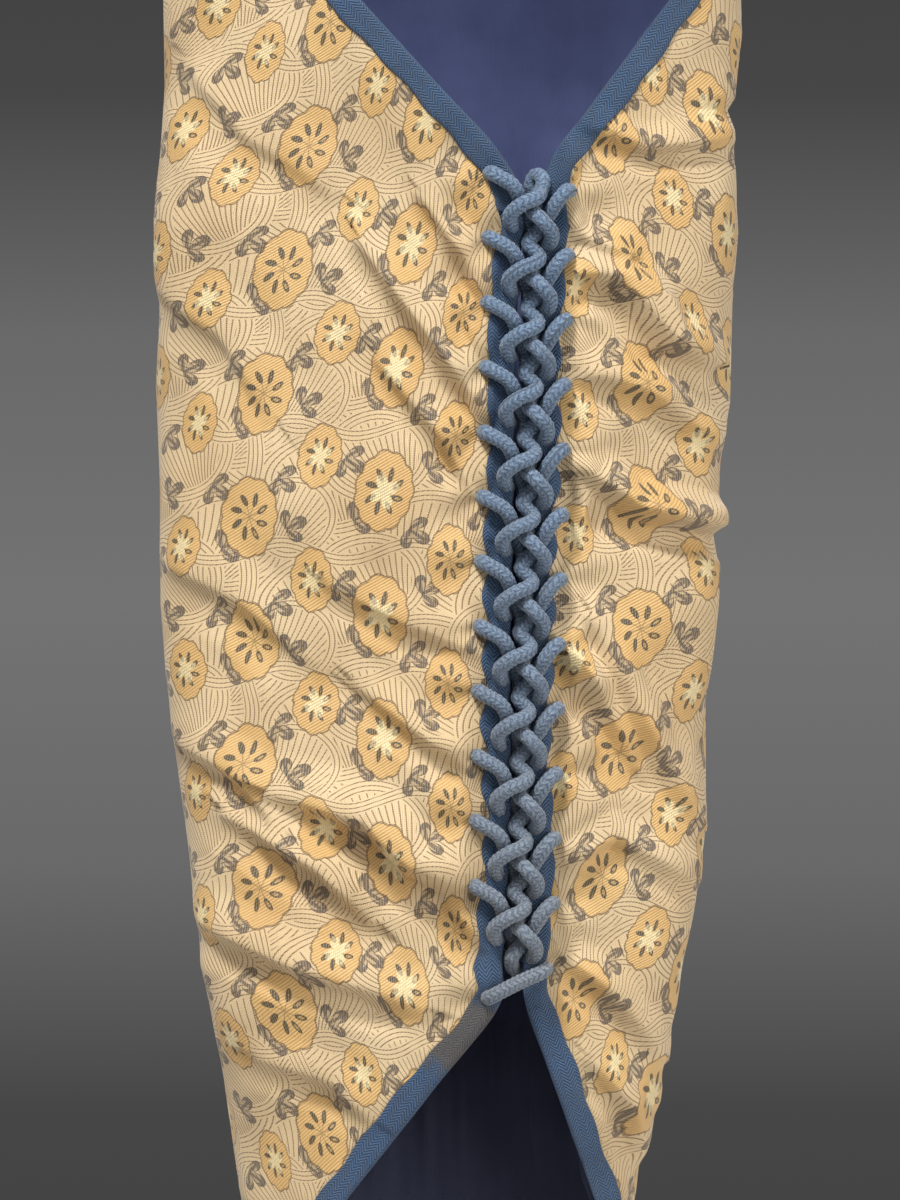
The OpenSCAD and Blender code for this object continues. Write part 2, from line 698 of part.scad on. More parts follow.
// Toggles hang on cords through the side eyelets, with a knot behind each.
module toggle_place(side) {
    eyelet_place(side) children();
}
toggle_out = plate_t / 2 + toggle_d / 2 + 2.4;
toggle_waist = toggle_d / 2 - 1.4;
toggle_turn = toggle_waist + toggle_cord_d / 2 + 0.1;
knot_r = eyelet_bore + 1.6;
knot_y = -eyelet_l / 2 - 0.4 - sqrt(knot_r * knot_r - eyelet_bore * eyelet_bore);
// The cord's points, each with its radius: the knot, the bore, the drop, a turn in the groove.
toggle_route = concat(
    [for (a = [-75, -40, 0, 40, 70]) [0, knot_y + knot_r * sin(a), 0, knot_r * cos(a)]],
    [for (p = [[0, 0], [3, 0], [5.4, -0.6], [7, -2.2]])
        [0, eyelet_l / 2 - 1 + p[0], p[1], toggle_cord_d / 2]],
    [[0, toggle_out + toggle_turn, -10, toggle_cord_d / 2]],
    [for (a = [0:-28:-280])
        [0, toggle_out + toggle_turn * cos(a), toggle_turn * sin(a) - toggle_drop,
            toggle_cord_d / 2]]
);
module toggle_cord(side) {
    color(cord_blue) toggle_place(side) tube(
        [for (p = toggle_route) [p[0], p[1], p[2]]], [for (p = toggle_route) p[3]], 8);
}
module toggle(side) {
    color("#5B3A22") toggle_place(side) translate([0, toggle_out, -toggle_drop])
        rotate([0, 90, 0]) rotate_extrude() polygon([
            [0, -toggle_l / 2], [toggle_d / 3, -toggle_l / 2], [toggle_d / 2, -toggle_l / 2 + 3],
            [toggle_d / 2, -toggle_cord_d], [toggle_waist, -toggle_cord_d / 2],
            [toggle_waist, toggle_cord_d / 2], [toggle_d / 2, toggle_cord_d],
            [toggle_d / 2, toggle_l / 2 - 3], [toggle_d / 3, toggle_l / 2], [0, toggle_l / 2]
        ]);
}
module toggle_left() toggle(-1);
module toggle_cord_left() toggle_cord(-1);
module toggle_right() toggle(1);
module toggle_cord_right() toggle_cord(1);

// Mail on the armoured side
mail_place = function(f, z, out) back_place((1 + mail_columns * f) / back_columns, z, out);
module mail(upper, lower, nz) {
    color(mail_grey)
        panel(mail_place, level(upper), level(lower), mail_columns, nz, mail_out, mail_in);
}
module mail_upper() mail(mail_top, elbow_upper, mail_rows);
module mail_elbow() mail(elbow_upper - cloth_gap, elbow_lower + cloth_gap, elbow_rows);
module mail_fore() mail(elbow_lower, fore_bottom, fore_rows);
module mail_wrist() mail(fore_bottom - cloth_gap, -hand_top + cloth_gap, 2);

// Small plates of the upper arm, row by row
upper_pitch = (-elbow_upper - plate_drop - 12) / plate_rows;
column_pitch = 0.16;
function row_top(row) = -(plate_drop + 12) - (row - 1) * upper_pitch;
module upper_row(row) {
    color(iron_black)
        for (c = [0:plate_columns - 1]) {
            mid = 0.5 + (c - (plate_columns - 1) / 2) * column_pitch;
            place = function(f, z, out)
                on_back(mid + (f - 0.5) * small_share, z, out);
            panel(place, level(row_top(row)), level(row_top(row) - small_h), 3, 2,
                plate_out, plate_in);
        }
}

// Elbow dish: a square grid bent into a disc that follows the sleeve's back
dish_steps = 10;
dish_x = middle_x(-elbow_drop);
function dish_point(i, j, out) =
    let (u = 2 * i / dish_steps - 1, v = 2 * j / dish_steps - 1,
        a = u * sqrt(1 - v * v / 2), b = v * sqrt(1 - u * u / 2),
        x = dish_x + dish_r * a, z = -elbow_drop + dish_r * b, r = norm([a, b]))
    [x, back_y(x, z, plate_in) + out + dish_h * (1 - r * r), z];
module elbow_dish() {
    color(iron_black) sheet(
        [for (i = [0:dish_steps]) [for (j = [0:dish_steps]) dish_point(i, j, plate_t)]],
        [for (i = [0:dish_steps]) [for (j = [0:dish_steps]) dish_point(i, j, 0)]]
    );
}
dish_top_y = back_y(dish_x, -elbow_drop, plate_in) + plate_t + dish_h;
boss_h = 4;
module elbow_boss() {
    reach = dish_r - 5;
    color("#B08D4A") translate([dish_x, dish_top_y + 0.15, -elbow_drop]) rotate([-90, 0, 0])
        rotate_extrude() polygon([
            [0, 0], [7, 0], [7, 0.8], [5, 1.4], [3.4, 1.6], [2.6, boss_h - 0.6],
            [1.2, boss_h], [0, boss_h]
        ]);
    color(iron_black) for (k = [0:7]) {
        a = 22.5 + 45 * k;
        x = dish_x + reach * cos(a);
        z = -elbow_drop + reach * sin(a);
        seated(on_dish(x, z), on_dish(x + 1, z) - on_dish(x - 1, z),
            on_dish(x, z + 1) - on_dish(x, z - 1)) translate([0, 0.35, 0]) rivet();
    }
}
function on_dish(x, z) =
    let (r = norm([x - dish_x, z + elbow_drop]) / dish_r)
    [x, back_y(x, z, plate_in) + plate_t + dish_h * (1 - r * r), z];

// Splints of the forearm
splint_pitch = 0.118;
splint_top = elbow_lower - 8;
splint_round = 3;
rivet_inset = 8;
function rounding(f) = splint_round * (1 - pow(2 * f - 1, 2));
module splint(i) {
    mid = 0.5 + (i - (splints + 1) / 2) * splint_pitch;
    place = function(f, z, out) on_back(mid + (f - 0.5) * splint_share, z, out);
    color(iron_black)
        panel(place, function(f) splint_top + rounding(f),
            function(f) splint_top - splint_h - rounding(f), 3, 4,
            plate_out, plate_in);
}
module splint_rivets() {
    color(iron_black) for (i = [1:splints], end = [0, 1])
        standing(0.5 + (i - (splints + 1) / 2) * splint_pitch,
            splint_top - rivet_inset - end * (splint_h - 2 * rivet_inset), plate_out + 0.3)
                rivet();
}

// Wrist and hand
hand_place = function(f, z, out) on_back(mix(0.03, 0.97, f), z, out);
knuckle_rise = (hand_end - hand_top) / 4;
hand_hem = 6;
function knuckles(drop) = function(f) -drop + knuckle_rise * pow(abs(2 * f - 1), 3);
module lining_wrist() {
    color(lining_blue) panel(hand_place, level(fore_bottom - cloth_gap),
        level(-hand_top + cloth_gap), 12, 2, core_out, lining_in);
}
module hand_cloth() {
    color(cloth_gold) panel(hand_place, level(-hand_top), knuckles(hand_end - hand_hem), 12, 4,
        0, -cover_t);
}
module hand_lining() {
    color(lining_blue) panel(hand_place, level(-hand_top), knuckles(hand_end - hand_hem), 12, 4,
        core_out, lining_in);
}
hand_plate_top = -hand_top - 4;
hand_bulge = function(x, z)
    let (u = 2 * (x - middle_x(z)) / hand_width, v = part_of(-z, hand_top, hand_end))
    hand_dome * max(0, 1 - u * u) * sin(180 * mix(0.12, 0.9, v));
module hand_plate() {
    upper = function(f) hand_plate_top - 8 * pow(abs(2 * f - 1), 3);
    place = function(f, z, out) on_back(mix(0.05, 0.95, f), z, out);
    color(iron_black) panel(place, upper, knuckles(hand_end), 12, 6,
        shoulder_out, shoulder_in, hand_bulge);
}
module hand_rivets() {
    color(iron_black) for (i = [-2:2]) {
        share = 0.5 + i * 0.17;
        z = hand_plate_top - 9 - abs(i);
        bulge = hand_bulge(on_back(share, z, shoulder_out)[0], z);
        standing(share, z, shoulder_out + bulge + 0.35) rivet();
    }
}
finger_z = -mix(hand_top, hand_end, 0.6);
finger_gap = 0.8;
inside_y = back_y(middle_x(finger_z), finger_z, lining_in);
module finger_loop() {
    r = loop_d / 2 + loop_cord_d / 2;
    color(cord_blue)
        translate([middle_x(finger_z), inside_y - r - loop_cord_d / 2 - finger_gap, finger_z])
        rotate_extrude() translate([r, 0]) circle(r = loop_cord_d / 2);
}

// Thumb: a tab on the hand's right edge carries the plate, which swings forward.
thumb_gap = 4;
thumb_t = cover_t * 2;
thumb_x = middle_x(-hand_top) + wrist_width / 2 + thumb_w / 2 + thumb_gap;
thumb_sag = thumb_r - sqrt(thumb_r * thumb_r - thumb_w * thumb_w / 4);
tab_seat = on_back(0.03, -hand_top, -cover_t);
tab_h = 12;
thumb_y = tab_seat[1] - cloth_gap + thumb_sag;
thumb_top = -hand_top - tab_h - 2;
module thumb_form(w, h, r, t) {
    linear_extrude(h) intersection() {
        translate([0, -thumb_r]) difference() {
            circle(r = r + t);
            circle(r = r);
        }
        translate([-w / 2, -thumb_r]) square([w, thumb_r * 2]);
    }
}
module thumb_tab() {
    color(cloth_gold) translate([0, 0, thumb_top + cloth_gap]) {
        translate([thumb_x, thumb_y, 0]) thumb_form(thumb_w, tab_h, thumb_r - thumb_t, thumb_t);
        translate([tab_seat[0], tab_seat[1] - cloth_gap - thumb_t, 0])
            cube([thumb_x - thumb_w / 2 + 1 - tab_seat[0], thumb_t, tab_h]);
    }
}
module thumb_cloth() {
    color(lining_blue) translate([thumb_x, thumb_y, thumb_top - thumb_l])
        thumb_form(thumb_w - 2, thumb_l, thumb_r - thumb_t, thumb_t);
}
module thumb_plate() {
    color(iron_black) translate([thumb_x, thumb_y, thumb_top - thumb_l + 2])
        difference() {
            thumb_form(thumb_w, thumb_l - 6, thumb_r + 0.3, plate_t);
            for (side = [-1, 1])
                translate([side * thumb_w / 2, -thumb_r, 0]) rotate([0, 45, 0])
                    cube([9, thumb_r * 4, 9], center = true);
        }
}
module thumb_loop() {
    r = loop_d / 2 - 2;
    color(cord_blue)
        translate([thumb_x, thumb_y - thumb_t - r - loop_cord_d / 2 - 0.4, thumb_top - thumb_l + 14])
        rotate_extrude() translate([r, 0]) circle(r = loop_cord_d / 2);
}

cover_upper_left();
cover_upper_right();
cover_upper_back();
core_upper();
lining_upper();
top_binding();
tape_upper_left();
tape_upper_right();
cover_elbow_left();
cover_elbow_right();
cover_elbow_back();
lining_elbow();
cover_fore_left();
cover_fore_right();
cover_fore_back();
core_fore();
lining_fore();
tape_lower_left();
tape_lower_right();
laced_edge_left();
laced_edge_right();
slit_tape_left();
slit_tape_right();
lacing_cord();
shoulder_plate();
shoulder_eyelets();
shoulder_rivets();
toggle_left();
toggle_cord_left();
toggle_right();
toggle_cord_right();
mail_upper();
mail_elbow();
mail_fore();
mail_wrist();
for (i = [1:plate_rows]) upper_row(i);
elbow_dish();
elbow_boss();
for (i = [1:splints]) splint(i);
splint_rivets();
lining_wrist();
hand_cloth();
hand_lining();
hand_plate();
hand_rivets();
finger_loop();
thumb_tab();
thumb_cloth();
thumb_plate();
thumb_loop();
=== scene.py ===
# %% [markdown]
# # An armoured sleeve, dressed for the camera
# This sleeve is laced along the inside of the arm and armoured on the outside. It comes from the
# workshop drawings as plain solids that already stand in their right places. One could just paint
# those solids, but cloth, cord and mail would look like moulded blocks. So most of them give way
# to a fuller surface, while the rivets, eyelets, boss and toggles keep their form and only get a
# finish. Everything is worked out in millimetres, and turned into metres when a mesh is made.

# %% The frame
import math

import bpy
import numpy as np
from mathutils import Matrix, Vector


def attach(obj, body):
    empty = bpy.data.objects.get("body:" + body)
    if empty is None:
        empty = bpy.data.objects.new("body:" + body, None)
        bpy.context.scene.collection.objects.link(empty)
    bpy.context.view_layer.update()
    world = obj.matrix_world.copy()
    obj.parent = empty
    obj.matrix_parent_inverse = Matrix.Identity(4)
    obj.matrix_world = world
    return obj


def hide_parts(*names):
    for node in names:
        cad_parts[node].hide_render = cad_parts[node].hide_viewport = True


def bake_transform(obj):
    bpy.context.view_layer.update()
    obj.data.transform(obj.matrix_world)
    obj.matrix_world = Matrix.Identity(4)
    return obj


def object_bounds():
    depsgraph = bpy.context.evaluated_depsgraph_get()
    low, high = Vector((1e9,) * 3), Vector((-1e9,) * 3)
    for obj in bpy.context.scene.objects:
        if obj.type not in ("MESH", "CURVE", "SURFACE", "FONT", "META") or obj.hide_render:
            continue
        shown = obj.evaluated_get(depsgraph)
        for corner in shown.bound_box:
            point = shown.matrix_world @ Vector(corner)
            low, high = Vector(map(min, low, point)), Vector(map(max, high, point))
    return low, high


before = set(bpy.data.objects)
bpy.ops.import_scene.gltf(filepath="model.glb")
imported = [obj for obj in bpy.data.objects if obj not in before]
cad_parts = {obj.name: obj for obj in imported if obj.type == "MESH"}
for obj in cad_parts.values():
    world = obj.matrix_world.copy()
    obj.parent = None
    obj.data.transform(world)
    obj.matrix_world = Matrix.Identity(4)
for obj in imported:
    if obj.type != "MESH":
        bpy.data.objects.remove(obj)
cad_box = [list(corner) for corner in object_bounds()]
MM = 0.001

# %% [markdown]
# The photograph shows the laced side straight on and almost without perspective, so both sides of
# the sleeve look parallel. An orthographic camera would be the plain way to get that, but it
# takes away the last bit of depth. A long lens from far away keeps it, and frames the same view.

# %% Camera
VIEW_MIDDLE = (0.0, -344.0)
VIEW_TALL = 408.0
CAMERA_FAR = 2600.0
FRONT_FACE = -26.0

lens = bpy.data.cameras.new("long_lens")
lens.sensor_width = 36.0
lens.lens = 36.0 * (CAMERA_FAR + FRONT_FACE) / VIEW_TALL
camera = bpy.data.objects.new("camera", lens)
camera.location = (VIEW_MIDDLE[0] * MM, -CAMERA_FAR * MM, VIEW_MIDDLE[1] * MM)
camera.rotation_euler = (math.radians(90), 0, 0)
bpy.context.scene.collection.objects.link(camera)
bpy.context.scene.camera = camera
bpy.context.scene.view_settings.view_transform = "Standard"
print("lens", round(lens.lens), "mm")

# %% [markdown]
# A material's pattern is a chain of small sums in Math nodes. They could be placed one by one,
# but then nobody can read the sum any more. So a `Wire` wraps one socket, and using an operator
# on wires puts the Math node in: `1 - mask` is one Subtract node.


# %% Wires
def operator(kind, turned=False):
    """An operator that adds one Math node; turned puts the other value first."""
    if turned:
        return lambda wire, other: wire.owner.math(kind, other, wire)
    return lambda wire, other: wire.owner.math(kind, wire, other)


class Wire:
    """One value on its way through a finish."""

    __add__ = __radd__ = operator("ADD")
    __mul__ = __rmul__ = operator("MULTIPLY")
    __sub__, __rsub__ = operator("SUBTRACT"), operator("SUBTRACT", turned=True)
    __truediv__, __rtruediv__ = operator("DIVIDE"), operator("DIVIDE", turned=True)
    __pow__, __rpow__ = operator("POWER"), operator("POWER", turned=True)
    __lt__, __gt__ = operator("LESS_THAN"), operator("GREATER_THAN")

    def __init__(self, owner, socket):
        self.owner, self.socket = owner, socket

    def __abs__(self):
        return self.owner.math("ABSOLUTE", self)


print("a wire takes", [name.strip("_") for name, part in vars(Wire).items() if callable(part)])

# %% [markdown]
# Every kind of node could have a function of its own, and there would soon be twenty of them. One
# method, `node`, serves them all instead: it takes the type, the settings and what goes into the
# sockets. It works for a material and for the sky alike, because both keep their nodes in a tree.


# %% Any node from one method
class Nodes:
    """The nodes of a material or of the sky."""

    def __init__(self, tree):
        self.nodes, self.links = tree.nodes, tree.links

    def feed(self, socket, value):
        if isinstance(value, Wire):
            self.links.new(value.socket, socket)
        else:
            socket.default_value = value

    def node(self, kind, settings, output, **inputs):
        """Any node: its settings are set first, then its sockets; gives back one output.

        A socket goes by its name, or by i and its number where several share a name.
        """
        node = self.nodes.new("ShaderNode" + kind)
        for name, value in settings.items():
            if name == "stops":
                ramp = node.color_ramp
                ramp.interpolation = settings.get("between", "LINEAR")
                while len(ramp.elements) < len(value):
                    ramp.elements.new(0.5)
                for element, (place, shade) in zip(ramp.elements, value):
                    element.position, element.color = place, shade
            elif name != "between":
                setattr(node, name, value)
        for name, value in inputs.items():
            numbered = name[0] == "i" and name[1:].isdigit()
            self.feed(node.inputs[int(name[1:]) if numbered else name.replace("_", " ")], value)
        return Wire(self, node.outputs[output])

    def math(self, operation, *values):
        sockets = {f"i{k}": v for k, v in enumerate(values)}
        return self.node("Math", {"operation": operation}, 0, **sockets)


print("one class with", [name for name in vars(Nodes) if name[0] != "_"])

# %% [markdown]
# Some sums come back in every finish: a wave, a repeat, a cloud of noise, a ramp from one number
# to another, one colour over another. Each could be written out in full where it is needed. With
# a short name for each, a finish reads like a recipe.


# %% Short names for what is needed often
class Recipe(Nodes):
    """Short names for the sums that come back in every finish."""

    def sin(self, value):
        return self.math("SINE", value)

    def cos(self, value):
        return self.math("COSINE", value)

    def hypot(self, x, y):
        return self.math("SQRT", x * x + y * y)

    def wrapped(self, value, size):
        """A value brought into the middle cell of its repeat."""
        return value - self.math("ROUND", value / size) * size

    def stretched(self, vector, scale):
        return self.node("Mapping", {}, "Vector", Vector=vector, Scale=scale)

    def noise(self, vector, scale, detail, rough=0.5):
        return self.node("TexNoise", {}, "Fac", Vector=vector, Scale=scale, Detail=detail,
                         Roughness=rough)

    def blend(self, mask, under, over):
        """A colour over another, as far as the mask says."""
        return self.node("Mix", {"data_type": "RGBA"}, 2, i0=mask, i6=under, i7=over)

    def steps(self, value, stops):
        """A number between the stops of a ramp."""
        return self.node("ValToRGB", {"stops": [(p, [s, s, s, 1]) for p, s in stops]}, "Color",
                         Fac=value)

    def rise(self, value, low, high, top=1.0):
        """A number that rises from 0 to top while the value goes from low to high."""
        return self.steps(value, [(low, 0.0), (high, top)])


print("short names:", [name for name in vars(Recipe) if name[0] != "_"])

# %% [markdown]
# A `Finish` is a material in the making. All of them use Blender's one Principled shader, since
# silk, lacquer, iron and wood differ only in what goes into its sockets. What a point of the
# surface knows comes in by two ways: its place on the object, and the measure `lay`, which the
# meshes carry along and which says where a thread of the cloth lies.


# %% A finish
def colour(code):
    """A colour written as six hex figures, as the light values that Blender wants."""
    parts = [int(code[i : i + 2], 16) / 255 for i in (0, 2, 4)]
    return [p / 12.92 if p < 0.04045 else ((p + 0.055) / 1.055) ** 2.4 for p in parts] + [1.0]


class Finish(Recipe):
    """A material in the making."""

    def __init__(self, name, **shader):
        self.material = bpy.data.materials.new(name)
        self.material.use_nodes = True
        super().__init__(self.material.node_tree)
        self.shader = self.nodes["Principled BSDF"]
        self.set(**shader)

    def set(self, **values):
        """Sets or links the shader's own sockets; Base_Color stands for Base Color."""
        for name, value in values.items():
            self.feed(self.shader.inputs[name.replace("_", " ")], value)

    def object_place(self):
        return self.node("TexCoord", {}, "Object")

    def lay(self):
        """The cloth's own measure, in millimetres: all of it, across, along and a third value."""
        vector = self.node("Attribute", {"attribute_name": "lay"}, "Vector")
        return vector, *[self.node("SeparateXYZ", {}, axis, Vector=vector) for axis in "XYZ"]

    def relief(self, height, distance, strength=1.0):
        """Gives the surface a relief; distance is in millimetres."""
        self.set(Normal=self.node("Bump", {}, "Normal", Height=height, Distance=distance * MM,
                                  Strength=strength))


print("mid grey is", round(colour("808080")[0], 3), "as light")

# %% [markdown]
# The sleeve is one tube of cloth that changes its section from the shoulder to the hand: the
# laced face is a flattened arch and the armoured face a rounder one. It could be modelled by
# hand, with a Shrinkwrap modifier to pull the other layers onto it. Here functions give any point
# of it at any distance out, so that lining, cloth, mail and plates follow each other exactly.

# %% The sleeve's form
LEFT_SIDE = ((-12, -78), (-46, -83), (-110, -98.6), (-168, -98.0), (-214, -100.8), (-242, -99.6),
             (-270, -101.0), (-307, -99.5), (-346, -99.4), (-385, -95.8), (-426, -90.3),
             (-465, -85.0), (-509, -77.8), (-548, -72.3), (-604, -60.2), (-708, -55.0))
RIGHT_SIDE = ((-12, 77.5), (-46, 82.5), (-110, 98.8), (-150, 100.2), (-172, 97.8), (-176, 95.0),
              (-183, 97.2), (-218, 99.0), (-242, 97.0), (-276, 96.2), (-297, 92.8), (-313, 92.2),
              (-319, 90.0), (-331, 92.0), (-350, 89.8), (-378, 87.8), (-422, 88.0), (-448, 84.4),
              (-476, 78.3), (-493, 73.4), (-516, 70.6), (-525, 66.6), (-548, 64.0),
              (-604, 51.9), (-708, 45.0))
# How square the two faces' arches are, how deep, and half the widest width.
FRONT_ROUND, BACK_ROUND = 3.0, 2.2
FRONT_DEEP, BACK_DEEP, HALF_WIDE = 30, 46, 99.25
# Heights below the shoulder eyelets: the shoulder plate's foot, where the sleeve is full, the
# elbow's foot, the slit's foot, the hand's top and its end.
PLATE_FOOT, FULL_FROM, ELBOW_FOOT, SLIT_FOOT, HAND_TOP, HAND_END = 46, 186, 378, 476, 604, 708


def clamp(v, low=0.0, high=1.0):
    return np.minimum(high, np.maximum(low, v))


def mix(a, b, f):
    return a + (b - a) * f


def part_of(v, a, b):
    return clamp((v - a) / (b - a))


def s_curve(f):
    return np.where(f < 0.5, 2 * f * f, 1 - 2 * (1 - f) ** 2)


def side_at(side, z):
    """How far out the left (-1) or right (1) outline stands."""
    table = sorted(LEFT_SIDE if side < 0 else RIGHT_SIDE)
    return np.interp(z, [t[0] for t in table], [t[1] for t in table])


def middle_x(z):
    """The middle line leans 5 mm to the left on its way to the hand's end."""
    return -5 * np.maximum(-z, 0) / HAND_END


def half_width(z, left):
    return np.where(left, middle_x(z) - side_at(-1, z), side_at(1, z) - middle_x(z))


print("wrist is", round(float(side_at(1, -HAND_TOP) - side_at(-1, -HAND_TOP))), "mm wide")


# %% The sleeve's depth
def arm_form(z):
    return s_curve(part_of(-z, PLATE_FOOT, FULL_FROM))


def hand_form(z):
    return part_of(-z, ELBOW_FOOT, HAND_TOP)


# In depth: the side seams, the laced face and how far the armoured face stands behind the seams.
def seam_y(z):
    return mix(-20.4, 0, arm_form(z)) + 8 * hand_form(z)


def front_y(z):
    return mix(-32.4, -FRONT_DEEP, arm_form(z)) + 18 * part_of(-z, SLIT_FOOT, HAND_TOP)


def depth_back(z):
    return mix(19, BACK_DEEP, arm_form(z)) - 21 * hand_form(z)


deep = depth_back(-300.0) + seam_y(-300.0) - front_y(-300.0)
print("the elbow is", round(float(deep)), "mm deep")


# %% The sleeve's two faces
def arch(angle, n):
    """A point of a rounded arch of half width and height 1: round for n = 2, squarer above."""
    c, s = np.cos(angle), np.sin(angle)
    k = (np.abs(c) ** n + np.abs(s) ** n) ** (-1 / n)
    return k * c, k * s


def arc_table(depth, n):
    """Which angle of the arch belongs to which share of its length."""
    angle = np.linspace(0, math.pi, 181)
    x, y = arch(angle, n)
    run = np.cumsum(np.hypot(np.diff(x * HALF_WIDE), np.diff(y * depth)))
    return np.concatenate([[0], run]) / run[-1], angle


FRONT_SHARES = arc_table(FRONT_DEEP, FRONT_ROUND)
BACK_SHARES = arc_table(BACK_DEEP, BACK_ROUND)


def reach_x(px, z, out):
    return middle_x(z) + (half_width(z, px < 0) + out) * px


def on_front(share, z, out):
    """Points on the laced face: share 0 is the right side and 1 the left."""
    px, py = arch(np.interp(share, *FRONT_SHARES), FRONT_ROUND)
    y = seam_y(z) - (seam_y(z) - front_y(z) + out) * py
    return np.stack(np.broadcast_arrays(reach_x(px, z, out), y, z), -1)


def on_back(share, z, out=0.0):
    """Points on the armoured face, with the same shares."""
    px, py = arch(np.interp(share, *BACK_SHARES), BACK_ROUND)
    y = seam_y(z) + (depth_back(z) + out) * py
    return np.stack(np.broadcast_arrays(reach_x(px, z, out), y, z), -1)


print("armour stands", round(float(on_back(0.5, -300.0)[1])), "mm behind the elbow's middle")

# %% [markdown]
# The lacing is one round braided cord. Its middle lies at the top. Its two halves cross at every
# row, go down through a hole, come up in the slit and lock round themselves, and each ends in a
# stopper knot. A simulation could pull it tight, but it would lie differently after every change.
# So the way of one half row is written down once for each side, and repeated.

# %% The turns of the lacing
# Each point: sideways from the slit, up from the row's height, and out from the cloth's edge.
LEFT_TURN = (
    (4.2, -6.6, 2), (2.6, -8.8, 6.2), (-2.4, -10.8, 7.8), (-7, -14.2, 5.2), (-6.6, -17.4, 1.6),
    (-5.6, -18.6, -3.2), (-6.8, -16, -7.8), (-11.6, -7, -8.6), (-13.4, -1, -5.8),
    (-13.4, 0, 0.5), (-11.6, -1, 4.2), (-6.6, -4.4, 4.4), (-3.8, -8.8, 2),
    (-2.8, -13, -2.4), (0.2, -18, -4.6),
)
RIGHT_TURN = (
    (0.8, -4, -4.6), (3.8, -9.6, -3), (1.4, -13.2, 2.6), (3.8, -15.4, 6.8), (6, -17.6, 7.6),
    (8.6, -20.4, 5), (8.4, -23.4, 1.4), (6.2, -24.8, -3.2), (6.8, -22, -7.8),
    (11.6, -13, -8.6), (13.4, -7, -5.8), (13.4, -6, 0.5), (11.8, -7, 4.2),
    (9.2, -10.4, 4.4), (6.8, -15.4, 1.8), (3.8, -19.6, 0.4), (0, -24, 1.2),
)
TOP_BIGHT = ((2.4, -0.6, -3.6), (5, -2.4, 0))
LAST_STRAND = (
    (0.8, -28.4, -4.4), (7.6, -30.4, -8), (11.2, -28.6, -5), (11.2, -28.4, 0.5),
    (9.6, -29.4, 4.2), (4, -32, 5.4), (-3, -35.2, 5.4), (-7.4, -37.4, 3.6),
    (-8.6, -38, 0.5), (-8.6, -38, -6), (-8.6, -38, -7.4), (-8.6, -38, -9.4),
    (-8.6, -38, -11.4), (-8.6, -38, -13),
)
LOOSE_END = (
    (0.6, -19, -7.4), (0.8, -20, -9), (0.8, -20.6, -11), (0.8, -21, -13), (0.8, -21.4, -14.6),
)
print("one turn takes", len(LEFT_TURN), "points on the left,", len(RIGHT_TURN), "on the right")

# %% The route of the cord
CORD_THICK, ROW_PITCH, ROWS, FIRST_ROW, EDGE_Y = 4.7, 22.0, 12, 199.0, -30.0
SLACK = 0.9  # the strands inside the slit lie a little closer to its middle than the holes ask


def slit_at(z):
    """The slit leans by 1.3 degrees and crosses x = 24 at the height -338."""
    return 24 + (z + 338) * math.tan(math.radians(1.3))


def in_row(points, row):
    return [(s, h - row * ROW_PITCH, d) for s, h, d in points]


def half_cord(start):
    return [p for row in range(ROWS)
            for p in in_row((LEFT_TURN, RIGHT_TURN)[(row + start) % 2], row)]


def lacing_route():
    route = (in_row(LOOSE_END[::-1], ROWS - 1) + half_cord(1)[::-1] + list(TOP_BIGHT)
             + half_cord(0) + in_row(LAST_STRAND, ROWS - 1))
    s, h, d = np.array(route, float).T
    z = h - FIRST_ROW
    s = np.where(np.abs(s) < 9, SLACK * s, s)
    return np.stack([slit_at(z) + s, EDGE_Y - d, z], -1)


route = lacing_route()
steps = np.linalg.norm(np.diff(route, axis=0), axis=1)
print(len(route), "points,", round(float(steps.sum())), "mm")

# %% [markdown]
# The written points stand some millimetres apart, and a cord has no corners. Blender's curves
# would round it, but then nobody knows how long it is between two points. So the rounding is
# worked out here: the line goes through every written point and is walked in even steps, which
# gives its length and keeps all the stitches equally long.


# %% Smooth lines
def unit(v):
    return v / np.linalg.norm(v, axis=-1, keepdims=True)


def total_run(steps):
    """The way gone before each point, from the lengths between them."""
    return np.concatenate([[0], np.cumsum(steps)])


def smooth_line(points, step):
    """A curve through the points, walked in even steps, and how far each step is along it."""
    p = np.asarray(points, float)
    p = np.vstack([2 * p[0] - p[1], p, 2 * p[-1] - p[-2]])
    a, b, c, d = p[:-3], p[1:-2], p[2:-1], p[3:]
    t = np.linspace(0, 1, 12, endpoint=False)[:, None, None]
    line = 0.5 * (2 * b + (c - a) * t + (2 * a - 5 * b + 4 * c - d) * t ** 2
                  + (3 * b - a - 3 * c + d) * t ** 3)
    line = line.transpose(1, 0, 2).reshape(-1, 3)
    line = np.vstack([line, p[-2:-1]])
    run = total_run(np.linalg.norm(np.diff(line, axis=0), axis=1))
    even = np.linspace(0, run[-1], max(4, int(run[-1] / step)))
    return np.stack([np.interp(even, run, line[:, k]) for k in range(3)], -1), even


def ring_frames(line):
    """Two directions across the line at each point that turn as little as they can."""
    along = unit(np.gradient(line, axis=0))
    side = np.empty_like(along)
    n = np.cross(along[0], (0.3, 1.0, 0.2))
    for i, t in enumerate(along):
        n = n - t * (n @ t)
        n /= np.linalg.norm(n)
        side[i] = n
    return side, np.cross(along, side)


line, run = smooth_line(route, 0.42)
print("the smooth line has", len(line), "points")

# %% [markdown]
# A curve with a bevel is the quick way to make a cord, but its surface is smooth, and the
# stitches of the braid show even at the cord's outline. So the tube is a mesh: rings of points
# along the smooth line, with the plait added to each point's distance from it.


